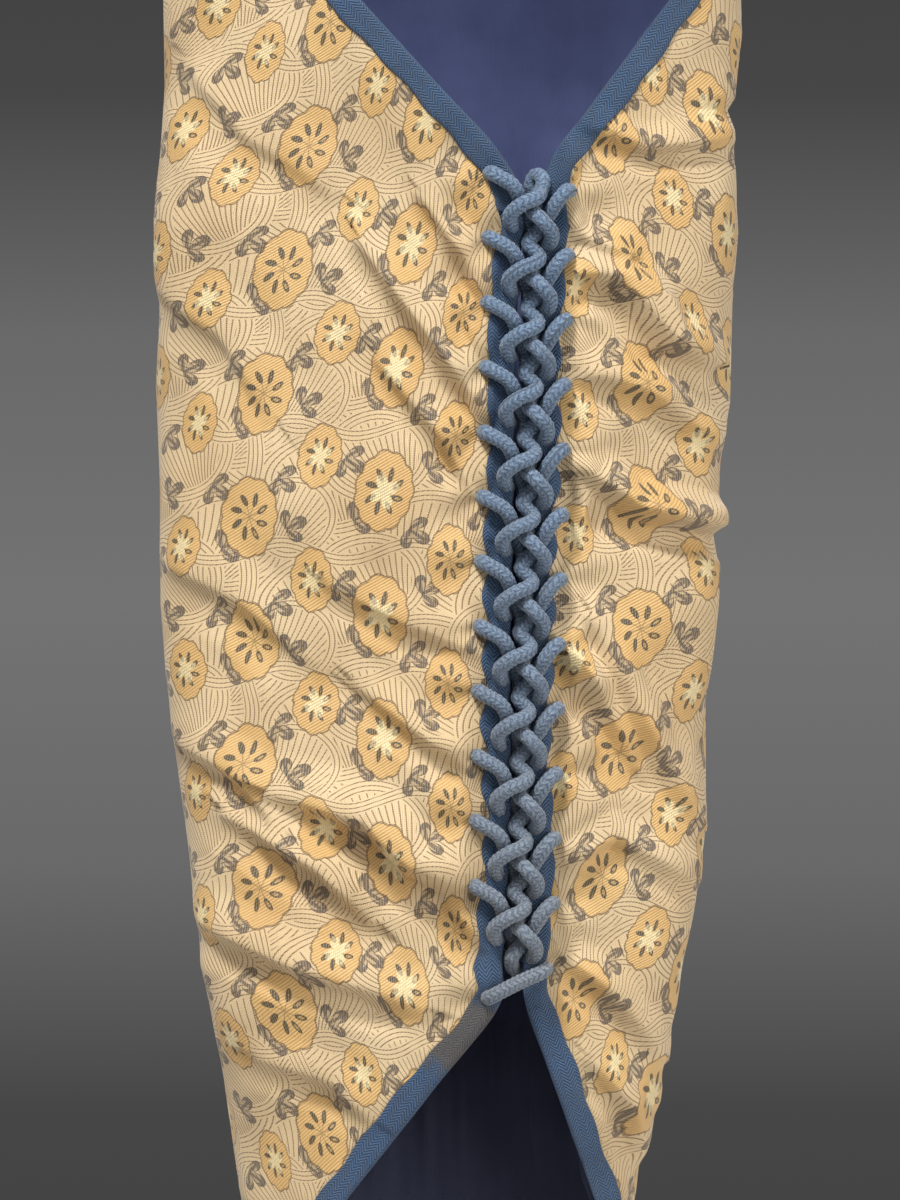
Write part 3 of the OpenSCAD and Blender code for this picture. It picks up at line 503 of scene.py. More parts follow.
# %% Meshes and tubes
def make_mesh(name, points, faces, lay=None):
    """A smooth mesh object from millimetre points."""
    mesh = bpy.data.meshes.new(name)
    mesh.from_pydata((np.asarray(points) * MM).tolist(), [], faces)
    mesh.polygons.foreach_set("use_smooth", [True] * len(mesh.polygons))
    if lay is not None:
        layer = mesh.attributes.new("lay", "FLOAT_VECTOR", "POINT")
        layer.data.foreach_set("vector", np.asarray(lay, np.float32).ravel())
    mesh.update()
    piece = bpy.data.objects.new(name, mesh)
    bpy.context.scene.collection.objects.link(piece)
    return piece


def grid_faces(nu, nv, round_u=False, round_v=False, start=0, flip=False):
    """The four-sided faces of a grid, closed in either direction where it is round."""
    i, j = np.meshgrid(np.arange(nu - (not round_u)), np.arange(nv - (not round_v)), indexing="ij")
    i, j = i.ravel(), j.ravel()
    i2, j2 = (i + 1) % nu, (j + 1) % nv
    quad = np.stack([i * nv + j, i2 * nv + j, i2 * nv + j2, i * nv + j2], -1) + start
    return (quad[:, ::-1] if flip else quad).tolist()


def tube(name, line, radius, sides, relief=None, run=None):
    """A tube along a line; relief(run, angle) is added to its radius."""
    n, b = ring_frames(line)
    angle = np.linspace(0, 2 * math.pi, sides, endpoint=False)
    along = run[:, None] if run is not None else np.arange(len(line))[:, None]
    r = np.broadcast_to(np.asarray(radius, float).reshape(-1, 1), (len(line), sides)).copy()
    if relief is not None:
        r += relief(along, angle[None, :])
    ring = n[:, None] * np.cos(angle)[None, :, None] + b[:, None] * np.sin(angle)[None, :, None]
    points = line[:, None] + r[..., None] * ring
    lay = np.stack(np.broadcast_arrays(angle[None, :] * CORD_THICK / 2, along, 0.0), -1)
    faces = grid_faces(len(line), sides, round_v=True)
    count = len(line) * sides
    faces += [list(range(sides))[::-1], [count - sides + k for k in range(sides)]]
    return make_mesh(name, points.reshape(-1, 3), faces, lay.reshape(-1, 3))


print("a tube has", len(grid_faces(2, 24, round_v=True)), "faces round, in each step")

# %% The lacing
PLAIT = 1.75  # from stitch to stitch


def plait(run, angle):
    """The bulging stitches of a round braid: four columns of small arrows."""
    fold = 1 - np.abs(np.mod(angle * (4 / math.pi), 2) - 1)
    stitch = 0.1 * np.cos(2 * math.pi * (run / PLAIT + 0.7 * fold))
    return stitch + 0.12 * np.sin(math.pi * fold) + 0.1


# Each end swells into its stopper knot; the places count from the nearer end.
KNOT = ((0.0, 0.7), (2.2, 1.35), (4.2, 1.7), (6.0, 1.35), (7.6, 1.0))
LAST_KNOT = ((7.0, 1.0), (5.0, 1.35), (3.4, 1.7), (1.6, 1.35), (0.0, 0.7))
swell = np.interp(run, [p for p, _ in KNOT] + [run[-1] - p for p, _ in LAST_KNOT],
                  [k for _, k in KNOT + LAST_KNOT])
lacing = tube("lacing_cord_braid", line, CORD_THICK / 2 * swell, 24, plait, run)
print("lacing is", round(float(run[-1]) * MM, 3), "m long")
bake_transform(lacing)
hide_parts("lacing_cord")

# %% [markdown]
# A round silk braid shows four columns of small arrow-shaped stitches. A picture of a braid could
# be wrapped round the cord, and would blur from near. The finish works the stitches out from the
# same two measures as the mesh, along and around, so colour and form agree. Shade is painted into
# the grooves between the stitches, and small highlights are painted over the fuzz. The colour runs
# from blue at the top of the lacing to a faded grey at its foot.


# %% Cord finish
def cord_finish():
    f = Finish("braided_silk", Roughness=0.78, Sheen_Weight=0.2, Sheen_Roughness=0.5)
    vector, across, along, _ = f.lay()
    turn = across * (2 / CORD_THICK)

    # Four columns of stitches round the cord, as in plait(): each one a row of small arrows.
    fold = f.math("PINGPONG", turn * (4 / math.pi), 1.0)
    stitch = f.cos(along * (2 * math.pi / PLAIT) + fold * (1.4 * math.pi)) * 0.5 + 0.5
    groove = f.steps(fold, [(0.0, 0.0), (0.16, 1.0), (0.84, 1.0), (1.0, 0.2)])
    strand = stitch * groove
    thread = f.sin(along * 10 + f.sin(turn * 4) * 2) * 0.5 + 0.5
    place = f.object_place()
    height = f.node("SeparateXYZ", {}, "Z", Vector=place)
    patch = f.noise(place, 55.0, 3.0)
    faded = f.steps(height * -1 + (patch - 0.5) * 0.14, [(0.24, 0.0), (0.36, 0.3), (0.46, 1.0)])
    base = f.blend(faded, colour("59728A"), colour("6E757C"))
    # Painted shade: the dark colours fill the grooves between the stitch columns and the ends of
    # each stitch.
    dark = f.blend(faded, colour("334663"), colour("474F5B"))
    shade = f.blend(f.rise(strand, 0.05, 0.6), dark, base)
    fuzz_and_painted_highlight = f.noise(vector, 1.5, 4.0, 0.7)
    # Partly the silk's fuzz, partly painted highlight: the noise also lays light grey-blue spots
    # on the colour.
    shade = f.blend(f.rise(fuzz_and_painted_highlight, 0.45, 0.72, 0.6), shade, colour("9AA7B4"))
    shade = f.blend(f.rise(patch, 0.5, 0.7, 0.35), shade, colour("54657A"))
    f.set(Base_Color=shade)
    f.relief(strand * 0.6 + thread * 0.25 + fuzz_and_painted_highlight * 0.4, 0.4)
    return f.material


cord_material = cord_finish()
lacing.data.materials.append(cord_material)
print("made", cord_material.name)

# %% [markdown]
# The cover is a silk brocade: a straw-coloured, ribbed ground with fine brown lines, and over it
# golden medallions and small leaf sprigs, which come again and again. A picture of the cloth is
# the usual way, but a picture brings its own light and folds along, and ends at its border. Sums
# over the cloth's own measure do neither. The pattern is a lattice of six columns, so the finish
# finds out in which column and repeat a point lies, and draws every figure only once.

# %% Sizes of the brocade's repeat
COLUMN, REPEAT = 23.0, 42.0
# Each column: how far down its medallion sits, half its width and height, and how creamy it is.
MEDALLIONS = ((17.7, 7.6, 10.2, 0.6), (7.8, 11.2, 13.4, 0.0), (29.2, 8.6, 10.6, 0.9),
              (41.1, 10.6, 13.4, 1.0), (22.4, 8.6, 11.8, 0.0), (1.7, 8.8, 11.0, 0.8))
# Between two columns: how far down each of two sprigs sits.
SPRIGS = ((0.5, 22.0), (18.5, 39.0), (12.0, 36.5), (9.0, 30.0), (34.0, 12.0), (27.0, 6.0))
print("the pattern repeats every", len(MEDALLIONS) * COLUMN, "by", REPEAT, "mm")

# %% [markdown]
# The ground's lines belong to round fields that lie over each other like scales. Each field has a
# few ring lines and a fan of rays, drawn as fine dashes. They could be drawn as curves and
# printed on, but a field is easier to say than to draw: distance from its middle for the rings,
# direction for the rays. Each one hides what lies under it, so they are laid one after another.

# %% The brocade's ground
LINE_GAP = 1.55


def bundle(f, distance, lines):
    """Lines at even distances, and the area that they take up."""
    place = distance / LINE_GAP
    near = abs(f.wrapped(place, 1.0)) < 0.118
    inside = (place > -0.5) * (place < lines - 0.5)
    return near * inside, inside


def field(f, u, v, wide, size, lean, lines=3):
    """A round field: what is drawn on it, and the area that it hides."""
    a = f.wrapped(u, COLUMN * 3) / wide
    b = f.wrapped(v, REPEAT)
    from_middle = f.hypot(a, b)
    rings = bundle(f, from_middle - size, lines)[0]
    aside = a + lean * size * 1.1
    above = size * 1.75 - b
    way = f.math("ARCTAN2", aside, above)
    reach = f.hypot(aside, above)
    ray = abs(f.wrapped(way * 17 + reach * (0.07 * lean), 1.0)) * reach < 2.9
    fan = ray * (from_middle < size - 0.9)
    return f.math("MAXIMUM", rings, fan), from_middle < size + (lines - 0.4) * LINE_GAP


def ground_lines(f, u, v):
    """The brown lines of the ground, as dashes; gives the lines and the dashes alone."""
    layers = [field(f, u - du, v - dv, *rest) for du, dv, *rest in (
        (10, 6, 1.55, 15.5, 0.7), (44, 27, 1.62, 15.5, -0.7), (27, 16, 1.3, 14.0, 0.6),
        (62, 38, 1.4, 14.6, -0.5), (50, 8, 1.1, 12.0, 0.9, 2), (8, 29, 1.2, 12.4, -0.9))]
    upright = u - 33 + f.sin(v * (2 * math.pi / REPEAT)) * 2.4
    layers.append(bundle(f, f.wrapped(upright, COLUMN * 6) + 2, 4))
    level = v - 19 + f.cos(u * (math.pi / COLUMN)) * 3.0
    layers.append(bundle(f, f.wrapped(level, REPEAT) + 1, 3))
    lines = abs(f.wrapped((v * 0.8 + u * 0.6) / 1.8, 1.0)) < 0.085
    for drawn, area in layers:
        lines = lines + area * (drawn - lines)
    dash = abs(f.wrapped((u * 0.5 + v) / 0.78, 1.0)) < 0.33
    return lines * (dash * 0.6 + 0.4), dash


print("ground lines lie", LINE_GAP, "mm apart")

# %% [markdown]
# A medallion is a scalloped round with seed-shaped petals, and some have a creamy heart. One mesh
# or picture for each of the six sizes would do, but a sum does all six: the outline, the seeds
# and the heart each compare the distance from the middle with something that depends on the
# angle. A colour ramp with six flats is the table in which each column's sizes are looked up.

# %% The brocade's medallions
# A ramp holds shares of 1, so heights and sizes are divided by these on the way in.
DROP_MOST, SIZE_MOST = 50, 20


def lookup(f, number, rows):
    """Up to three shares of 1 for each of the six columns, from a ramp with six flats."""
    stops = [(k / 6, list(row) + [0.0] * (3 - len(row)) + [1.0]) for k, row in enumerate(rows)]
    ramp = f.node("ValToRGB", {"between": "CONSTANT", "stops": stops}, "Color",
                  Fac=(number + 0.5) / 6)
    return [f.node("SeparateColor", {}, part, Color=ramp) for part in ("Red", "Green", "Blue")]


def medallions(f, u, v, vector):
    """Masks of the medallions: whole figure, rim, seeds, the seeds' hollows, stems and heart."""
    cell = f.math("FLOOR", u / COLUMN)
    number = f.math("FLOORED_MODULO", cell, 6.0)
    drop, wide, tall = lookup(f, number, [(m[0] / DROP_MOST, m[1] / SIZE_MOST, m[2] / SIZE_MOST)
                                          for m in MEDALLIONS])
    cream = lookup(f, number, [(m[3],) for m in MEDALLIONS])[0]
    # Inside the medallion's own outline x and y run from -1 to 1.
    x = (u - (cell + 0.5) * COLUMN) / (wide * SIZE_MOST)
    y = f.wrapped(v - drop * DROP_MOST, REPEAT) / (tall * SIZE_MOST)
    angle = f.math("ARCTAN2", y, x)
    far = f.hypot(x, y)
    point = abs(f.sin(angle)) ** 5.0
    lobes = abs(f.cos(angle * 5.5)) * 0.07 + point * 0.11 + 0.86
    inside = far < lobes
    rim = abs(far - lobes) < 0.032
    petal = abs(f.wrapped(angle * (8 / (2 * math.pi)) + far * 0.5 + 0.28, 1.0)) * far
    seed = ((far - 0.45) / 0.18) ** 2.0 + (petal / 0.105) ** 2.0
    seeds = seed < 1.0
    hollow = seed < f.steps(angle * 0.16 + 0.5,
                            [(0.3, 0.0), (0.42, 0.22), (0.7, 0.22), (0.8, 0.0)])
    stems = (petal < 0.02) * (far < 0.34)
    torn = f.noise(vector, 0.9, 2.0)
    star = abs(f.cos(angle * 2.0 + 0.8)) * 0.3 + torn * 0.34
    return inside, rim, seeds, hollow, stems, (far < star) * (cream > 0.3)


print("medallions are up to", 2 * max(m[2] for m in MEDALLIONS), "mm tall")

# %% [markdown]
# Between the medallions lie small sprigs of three rounded leaves, each with a vein. Copies of a
# small leaf mesh would stand on the cloth, and these are woven into it. So a sprig is a sum as
# well: its outline is again a distance that changes with the direction.


# %% The brocade's sprigs
def sprigs(f, u, v):
    """Small leaf sprigs between the columns, with three lobes each."""
    cell = f.math("ROUND", u / COLUMN)
    number = f.math("FLOORED_MODULO", cell, 6.0)
    first, second = lookup(f, number, [(a / DROP_MOST, b / DROP_MOST) for a, b in SPRIGS])[:2]
    across = (u - cell * COLUMN) / 7.2

    def sprig(down, shift, turn):
        sy = f.wrapped(v - down * DROP_MOST, REPEAT) / 6.6
        sx = across + shift
        way = f.math("ARCTAN2", sy, sx) + turn
        lobe = abs(f.cos(way * 2.6)) ** 0.45
        reach = lobe * (f.cos(way) * 0.25 + 0.9)
        span = f.hypot(sx, sy)
        ahead = f.cos(way) > -0.3
        vein = abs(f.wrapped(way * (2.6 / math.pi), 1.0)) * span
        return (span < reach) * ahead * (1 - 0.6 * (vein > 0.07) * (span < reach * 0.72))

    return f.math("MAXIMUM", sprig(first, -0.3, 0.5), sprig(second, 0.35, -0.6))


print("sprigs:", 2 * len(SPRIGS), "in a repeat")

# %% [markdown]
# On the loom all this is threads: upright ribs on the ground and slanting twill on the
# medallions. As real geometry there would be well over a hundred to a hand's width, too many for
# a mesh. So they are colour and a fine relief, and the folds alone are geometry.


# %% The brocade's threads and colours
def brocade_finish():
    f = Finish("silk_brocade", Sheen_Weight=0.12, Sheen_Roughness=0.5, Specular_IOR_Level=0.35)
    vector, u, v, _ = f.lay()
    drift = f.noise(vector, 0.035, 1.0) - 0.5
    u = u + drift * 1.6
    v = v + (f.noise(vector, 0.05, 1.0) - 0.5) * 1.2
    lines, dash = ground_lines(f, u, v)
    inside, rim, seeds, hollow, stems, heart = medallions(f, u, v, vector)
    leaves = sprigs(f, u, v) * (1 - inside)
    hatch = abs(f.wrapped(u / 0.8, 1.0)) < 0.36
    rib = f.cos(u * (2 * math.pi / 0.62)) * 0.5 + 0.5
    twill = f.cos((v * 0.85 + u * 0.52) * (2 * math.pi / 0.95)) * 0.5 + 0.5
    age = f.noise(vector, 0.018, 3.0)
    grain = f.noise(vector, 2.2, 2.0)

    ground = f.blend(f.rise(age, 0.35, 0.68), colour("D7C19A"), colour("C8AF86"))
    ground = f.blend(rib * 0.22, ground, colour("BC9C70"))
    ground = f.blend(lines * 0.9, ground, colour("644A30"))
    ground = f.blend(leaves * (hatch * 0.35 + 0.55), ground, colour("423E3D"))
    gold = f.blend(f.rise(age, 0.3, 0.7), colour("DAB67A"), colour("C8A166"))
    gold = f.blend(f.rise(twill, 0.45, 0.95, 0.55), gold, colour("A07840"))
    gold = f.blend(stems * 0.5, gold, colour("5A4A30"))
    gold = f.blend(heart * 0.78, gold, f.blend(rib * 0.45, colour("EADCAE"), colour("B39C68")))
    gold = f.blend(seeds * (1 - hollow * 0.6) * (1 - heart * 0.5) * (hatch * 0.35 + 0.62), gold,
                   colour("34372F"))
    shade = f.blend(inside, ground, gold)
    shade = f.blend(rim * (dash * 0.5 + 0.3), shade, colour("54402A"))
    shade = f.blend(f.steps(grain, [(0.35, 0.22), (0.6, 0.0)]), shade, colour("A67F4E"))
    f.set(Base_Color=shade, Roughness=0.66 - inside * 0.14)
    f.relief(rib * 0.35 * (1 - inside) + inside * (twill * 0.5 + 0.5) + heart * 0.6
             - seeds * 0.3 - lines * 0.25 + grain * 0.3, 0.34, 0.9)
    return f.material


brocade = brocade_finish()
print("brocade has", len(brocade.node_tree.nodes), "nodes")

# %% [markdown]
# The edging is a narrow herringbone tape: its ribs lean one way and then the other, so that it
# looks like a row of arrows. Blender's wave texture gives slanting ribs, but not their turn.
# Folding the measure across the tape, as with a Ping-Pong node, turns them exactly on the line.
# The tape is worn grey-brown where the left flap's lower edge has been handled. The lining is a
# plain weave of two crossing waves, blue near the shoulder, with painted shade that turns it
# nearly black further down.

# %% Tape and lining
TAPE_WIDE = 8.4


def tape_finish():
    f = Finish("herringbone_tape", Roughness=0.8, Sheen_Weight=0.1)
    vector, across, along, worn = f.lay()
    fold = f.math("PINGPONG", across, TAPE_WIDE / 4)
    rib = f.cos((along + fold * 1.2) * (2 * math.pi / 1.3))
    thread = f.cos((along - fold * 0.6) * (2 * math.pi / 0.45))
    patch = f.noise(vector, 0.12, 4.0, 0.6)
    shade = f.blend(rib * 0.5 + 0.5, colour("1B3454"), colour("48709A"))
    shade = f.blend(f.rise(patch, 0.4, 0.75, 0.5), shade, colour("3E4C60"))
    wear = f.rise(worn + (patch - 0.5) * 0.9, 0.35, 0.65, 0.92)
    shade = f.blend(wear, shade, colour("5C554E"))
    shade = f.blend(f.rise(f.noise(vector, 2.5, 3.0), 0.5, 0.75, 0.4), shade,
                    colour("75869A"))
    f.set(Base_Color=shade)
    f.relief(rib * 0.8 + thread * 0.25 + patch * 0.5, 0.45)
    return f.material


def plain_cloth(name, light, dark, pitch):
    """A plain weave with uneven threads, faded patches and painted shade that deepens further
    down.
    """
    f = Finish(name, Roughness=0.85, Sheen_Weight=0.08)
    vector, u, v, _ = f.lay()
    one = f.cos(u * (2 * math.pi / pitch))
    other = f.cos(v * (2 * math.pi / pitch))
    weave = one * other * 0.5 + 0.5
    patch = f.noise(vector, 0.03, 4.0, 0.6)
    slub = f.noise(f.stretched(vector, (1.6, 0.06, 1.0)), 1.0, 3.0)
    shade = f.blend(f.rise(patch, 0.3, 0.7), colour(dark), colour(light))
    shade = f.blend(f.rise(slub, 0.4, 0.7, 0.35), shade, colour(light))
    shade = f.blend(weave * 0.25, shade, colour("10131F"))
    # Painted shade: the cloth turns nearly black further down, towards the hand.
    painted_shade_further_down = f.rise(v * 0.002 + (patch - 0.5) * 0.1, 0.58, 0.7, 0.86)
    shade = f.blend(painted_shade_further_down, shade, colour("0E1122"))
    f.set(Base_Color=shade)
    f.relief(weave * 0.5 + slub * 0.8, 0.2, 0.8)
    return f.material


tape_material = tape_finish()
lining_material = plain_cloth("indigo_lining", "525C8A", "3C4570", 0.9)
print("cloths:", tape_material.name, lining_material.name)

# %% [markdown]
# Worn cloth never lies flat. A cloth simulation would make folds, but not where the photograph
# has them, and new ones after every change. So each fold is written down as a bent line, with a
# gentle slope above it, a steep drop and then a dip. Round each hole there is a small hollow with
# rays, where the cord pulls the cloth in. A few slow waves over everything take away the last
# stiffness.

# %% The table of folds
# Each is a bent line from one end to the other, how wide it is, and how high.
FOLDS = (
    (((-58, -409), (-27, -419), (-13, -434), (-1, -439), (12, -441)), 15, 7.8),
    (((-74, -416), (-54, -428), (-43, -435), (-26, -452)), 13, 5.4),
    (((-4, -446), (6, -453), (12, -461), (19, -464)), 10, 5.2),
    (((37, -231), (54, -234), (62, -241), (72, -255), (90, -262)), 13, 7.0),
    (((40, -295), (62, -312), (74, -315), (97, -319)), 12, 7.4),
    (((35, -298), (43, -301), (46, -311), (45, -322)), 8, 3.4),
    (((33, -350), (48, -372), (65, -400)), 10, 4.8),
    (((48, -350), (66, -386), (86, -420)), 11, 3.8),
    (((-10, -206), (4, -226), (16, -250)), 8, 3.2),
    (((-30, -222), (-8, -252), (12, -280)), 10, 4.2),
    (((-24, -262), (-4, -286), (12, -312)), 10, 2.8),
    (((-40, -338), (-14, -352), (12, -362)), 11, 2.6),
    (((-32, -372), (-6, -392), (10, -402)), 10, 3.0),
    (((-96, -330), (-70, -344), (-44, -366)), 16, 2.4),
    (((-92, -392), (-72, -402), (-56, -420)), 12, 3.0),
    (((-84, -452), (-50, -468), (-10, -482)), 13, 4.2),
    (((-64, -500), (-40, -508), (-26, -520)), 11, 2.4),
    (((46, -182), (66, -190), (97, -186)), 9, 2.6),
    (((38, -208), (44, -220), (58, -226)), 8, 3.0),
    (((40, -432), (56, -424), (84, -440)), 10, 2.8),
    (((38, -462), (52, -476), (70, -500)), 10, 3.2),
    (((46, -500), (58, -516), (68, -540)), 8, 2.6),
    (((-98, -236), (-78, -252), (-60, -280)), 16, 2.0),
    (((-90, -160), (-66, -186), (-40, -204)), 16, 1.8),
    (((44, -266), (64, -272), (94, -290)), 10, 2.4),
)
# Each wave: how fast it runs across and down, where it starts, and its height.
WAVES = ((0.052, 0.031, 0.4, 0.9), (-0.03, 0.047, 2.1, 1.0), (0.085, -0.022, 4.0, 0.6),
         (0.02, 0.075, 1.1, 0.7), (-0.11, 0.06, 5.2, 0.4), (0.16, 0.09, 0.9, 0.28),
         (0.21, -0.17, 2.7, 0.18), (-0.13, 0.23, 3.9, 0.18), (0.33, 0.21, 1.9, 0.1))


print(len(FOLDS), "folds and", len(WAVES), "waves")


# %% The form of a fold
def hump(v, width):
    """A smooth bump of height 1 round 0."""
    return np.exp(-(v / width) ** 2)


def fold(x, z, corners, wide, high):
    """A fold along a bent line: it rises slowly, drops steeply and has a dip under it."""
    near = np.full(np.broadcast(x, z).shape, np.inf)
    above, place = np.zeros(near.shape), np.zeros(near.shape)
    pieces = len(corners) - 1
    for k, ((ax, az), (bx, bz)) in enumerate(zip(corners, corners[1:])):
        dx, dz = bx - ax, bz - az
        long = math.hypot(dx, dz)
        along = clamp(((x - ax) * dx + (z - az) * dz) / long, 0, long)
        off = np.hypot(x - ax - along * dx / long, z - az - along * dz / long)
        closer = off < near
        near = np.where(closer, off, near)
        above = np.where(closer, np.sign(-dz * (x - ax) + dx * (z - az)), above)
        place = np.where(closer, (k + along / long) / pieces, place)
    s = near * above
    crest = clamp(1 - (s / np.where(s > 0, wide, 0.4 * wide)) ** 2) ** 2
    dip = clamp(1 - ((s + 0.62 * wide) / (0.6 * wide)) ** 2) ** 2
    return high * (crest - 0.62 * dip) * np.sin(math.pi * mix(0.06, 0.94, place)) ** 0.7


print("the first fold is", round(float(fold(-13.0, -433.0, *FOLDS[0])), 1), "mm high at its crest")

# %% How far the cloth stands out
HOLE_REACH, RIGHT_LOWER = 13.4, 6  # how far the holes lie from the slit, and the right ones below


def holes():
    """Where the cord goes through: the side, the height and the distance from the slit."""
    places = [(side, -FIRST_ROW - i * ROW_PITCH - (RIGHT_LOWER if side > 0 else 0), HOLE_REACH)
              for i in range(ROWS) for side in (-1, 1)]
    last = -FIRST_ROW - (ROWS - 1) * ROW_PITCH
    return places + [(1, last - 28.4, 11.2), (-1, last - 38.0, 8.6)]


def pull(x, z):
    """The cloth drawn in round the holes, with rays outwards."""
    total = np.zeros(np.broadcast(x, z).shape)
    for side, hz, reach in holes():
        dx, dz = x - slit_at(hz) - side * reach, z - hz
        far = np.hypot(dx, dz)
        rays = np.cos(np.arctan2(dz, dx * side) * 4 + 2.3 * hz) * (dx * side > -3)
        total += 1.15 * rays * hump(far - 12, 8) - 1.6 * hump(far, 4.5)
    return total


def cloth_rise(x, z):
    """How far the cover stands out from the smooth form."""
    rise = sum(fold(x, z, *one) for one in FOLDS)
    rise = rise + sum(h * np.sin(a * x + b * z + c) for a, b, c, h in WAVES)
    away = part_of(np.abs(x - slit_at(z)), 7, 19)
    return 1.25 * clamp(rise, -3.2, 7.2) * away + pull(x, z)


print("the cord pulls at", len(holes()), "holes")

# %% [markdown]
# The cover is cut in three: a left and a right flap on the laced face, and the back. A flap runs
# from the slit to the side seam, and its slanting ends make the two open wedges of the
# photograph. The flaps could be cut from one tube with a Boolean modifier, which leaves ragged
# edges. Here each is a grid of its own whose first and last rows lie on the slanting edges, so
# the edges are clean and ready for the tape. The folds die away at the side seams, where the
# pieces meet.

# %% The shape of a flap
SLIT_HALF, SLIT_HEAD = 3.4, 200
PICTURE_TOP = 140  # the photograph's upper edge lies this far below the eyelets
UPPER_EDGE = {-1: ((23.7, -SLIT_HEAD), (-89.6, -76)), 1: ((30.5, -SLIT_HEAD), (97.5, -110))}
# How far the cloth stops short of its slanting edges, under the tape.
UNDER_TAPE = {-1: (3.0, 3.0), 1: (3.4, 4.6)}
LOWER_EDGE = {-1: ((20.9, -SLIT_FOOT), (-63.7, -584)), 1: ((24.3, -SLIT_FOOT), (57.5, -570))}


def front_share(x, z):
    """Which share of the laced face lies at a place of the picture's plane."""
    off = x - middle_x(z)
    u = clamp(off / half_width(z, off < 0), -1, 1)
    angle = np.arctan2((1 - np.abs(u) ** FRONT_ROUND) ** (1 / FRONT_ROUND), u)
    return np.interp(angle, FRONT_SHARES[1], FRONT_SHARES[0])


def line_z(x, a, b):
    """The height of the straight line from a to b at x."""
    return a[1] + (x - a[0]) * (b[1] - a[1]) / (b[0] - a[0])


def edge_line(side, table, f, start):
    """The height at which each column of a flap meets its slanting edge."""
    z = np.full(np.shape(f), float(start))
    for _ in range(40):
        z = 0.5 * (z + line_z(flap(side, f, z)[..., 0], *table[side]))
    return z


def flap_ends(side, z):
    """The shares where a flap begins, beside the slit, and where it ends, at the side seam."""
    return front_share(slit_at(z) + side * (SLIT_HALF + 1.4), z), 1.0 if side < 0 else 0.0


def flap(side, f, z, out=0.0):
    """A place on a flap: f runs from the slit's edge, 0, to the side seam, 1."""
    return on_front(mix(*flap_ends(side, z), f), z, out)


print("the slit is", round(2 * SLIT_HALF, 1), "mm wide")


# %% The grid of a flap
def calm(f):
    """Folds die away towards the side seam, where the cloth is sewn down."""
    return 1 - part_of(f, 0.88, 1.0)


def across_from(points):
    """How far each point of a row lies from its first one."""
    step = np.linalg.norm(np.diff(points, axis=0), axis=-1)
    return np.vstack([np.zeros((1, points.shape[1])), np.cumsum(step, axis=0)])


def flap_grid(side, nu, nv, out, rise):
    f = np.linspace(0, 1, nu)
    top = edge_line(side, UPPER_EDGE, f, -SLIT_HEAD) - UNDER_TAPE[side][0]
    low = edge_line(side, LOWER_EDGE, f, -SLIT_FOOT) + UNDER_TAPE[side][1]
    v = np.linspace(0, 1, nv)
    z = mix(top[:, None], low[:, None], v[None, :])
    flat = flap(side, f[:, None], z)
    lift = rise(flat[..., 0], z) * calm(f[:, None])
    return flap(side, f[:, None], z, out + lift), flat


def flap_lay(side, flat):
    """The cloth's own measure on a flap; its columns stand where they are in the photograph."""
    u = across_from(flat) + SLIT_HALF
    u = -u + 5.5 * COLUMN if side < 0 else u + 5.72 * COLUMN
    v = -(flat[..., 2] + PICTURE_TOP) + (0 if side < 0 else 4.0)
    return np.stack([u, v, np.zeros_like(u)], -1)


wide = across_from(flap(-1, np.linspace(0, 1, 50)[:, None], -320.0))[-1, 0]
print("the left flap is", round(float(wide)), "mm wide at the elbow")

# %% [markdown]
# Cloth also has a size laid out flat, which is what a workshop cuts. It could be read from a
# sewing pattern, but these sheets have none. So it can be measured on a grid of points: the
# lengths of the grid's rows and columns are added up, and the areas of its small fields. Here only
# a metre square is measured.


# %% Cloth as a sheet
def sheet_piece(name, points, lay, material, flip=False):
    """A sheet of cloth from a grid of points."""
    nu, nv = points.shape[:2]
    faces = grid_faces(nu, nv, flip=flip)
    piece = make_mesh(name, points.reshape(-1, 3), faces, lay.reshape(-1, 3))
    piece.data.materials.append(material)
    return piece


def flat_size(points):
    """A sheet's width and length when it is laid out flat, and its area, in metres."""
    wide = np.linalg.norm(np.diff(points, axis=0), axis=-1).sum(0).max()
    long = np.linalg.norm(np.diff(points, axis=1), axis=-1).sum(1).max()
    a, b = np.diff(points, axis=0)[:, :-1], np.diff(points, axis=1)[:-1]
    area = np.linalg.norm(np.cross(a, b), axis=-1).sum()
    return (round(float(wide) * MM, 3), round(float(long) * MM, 3)), round(float(area) * MM**2, 4)


square = np.array([[(0, 0, 0), (0, 1000, 0)], [(1000, 0, 0), (1000, 1000, 0)]])
print("a metre square lies out as", flat_size(square))

# %% The two flaps
for side, word in ((-1, "left"), (1, "right")):
    points, flat = flap_grid(side, 150 if side < 0 else 104, 500, 0.0, cloth_rise)
    cover = sheet_piece(f"cover_flap_{word}", points, flap_lay(side, flat), brocade, flip=side > 0)
    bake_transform(cover)
    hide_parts(f"cover_upper_{word}", f"cover_elbow_{word}", f"cover_fore_{word}",
                f"laced_edge_{word}")

# %% The back of the cover
COVER_TOP, COVER_FOOT = -12.0, -564.0


def back_grid(nu, nv, out, rise):
    f = np.linspace(0, 1, nu)[:, None]
    z = np.linspace(COVER_TOP, COVER_FOOT, nv)[None, :] + 0 * f
    flat = on_back(f, z)
    lift = rise(flat[..., 0], z) * (1 - part_of(np.abs(2 * f - 1), 0.9, 1.0))
    return on_back(f, z, out + lift), flat


def back_lay(flat, shift=0.0):
    u = across_from(flat) + shift
    return np.stack([u, -(flat[..., 2] + PICTURE_TOP), np.zeros_like(u)], -1)


def back_rise(x, z):
    return 0.5 * sum(h * np.sin(a * x + b * z + c + 1) for a, b, c, h in WAVES) - 0.4


points, flat = back_grid(110, 260, 0.0, back_rise)
cover = sheet_piece("cover_back", points, back_lay(flat), brocade, flip=True)
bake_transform(cover)
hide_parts("cover_upper_back", "cover_elbow_back", "cover_fore_back")

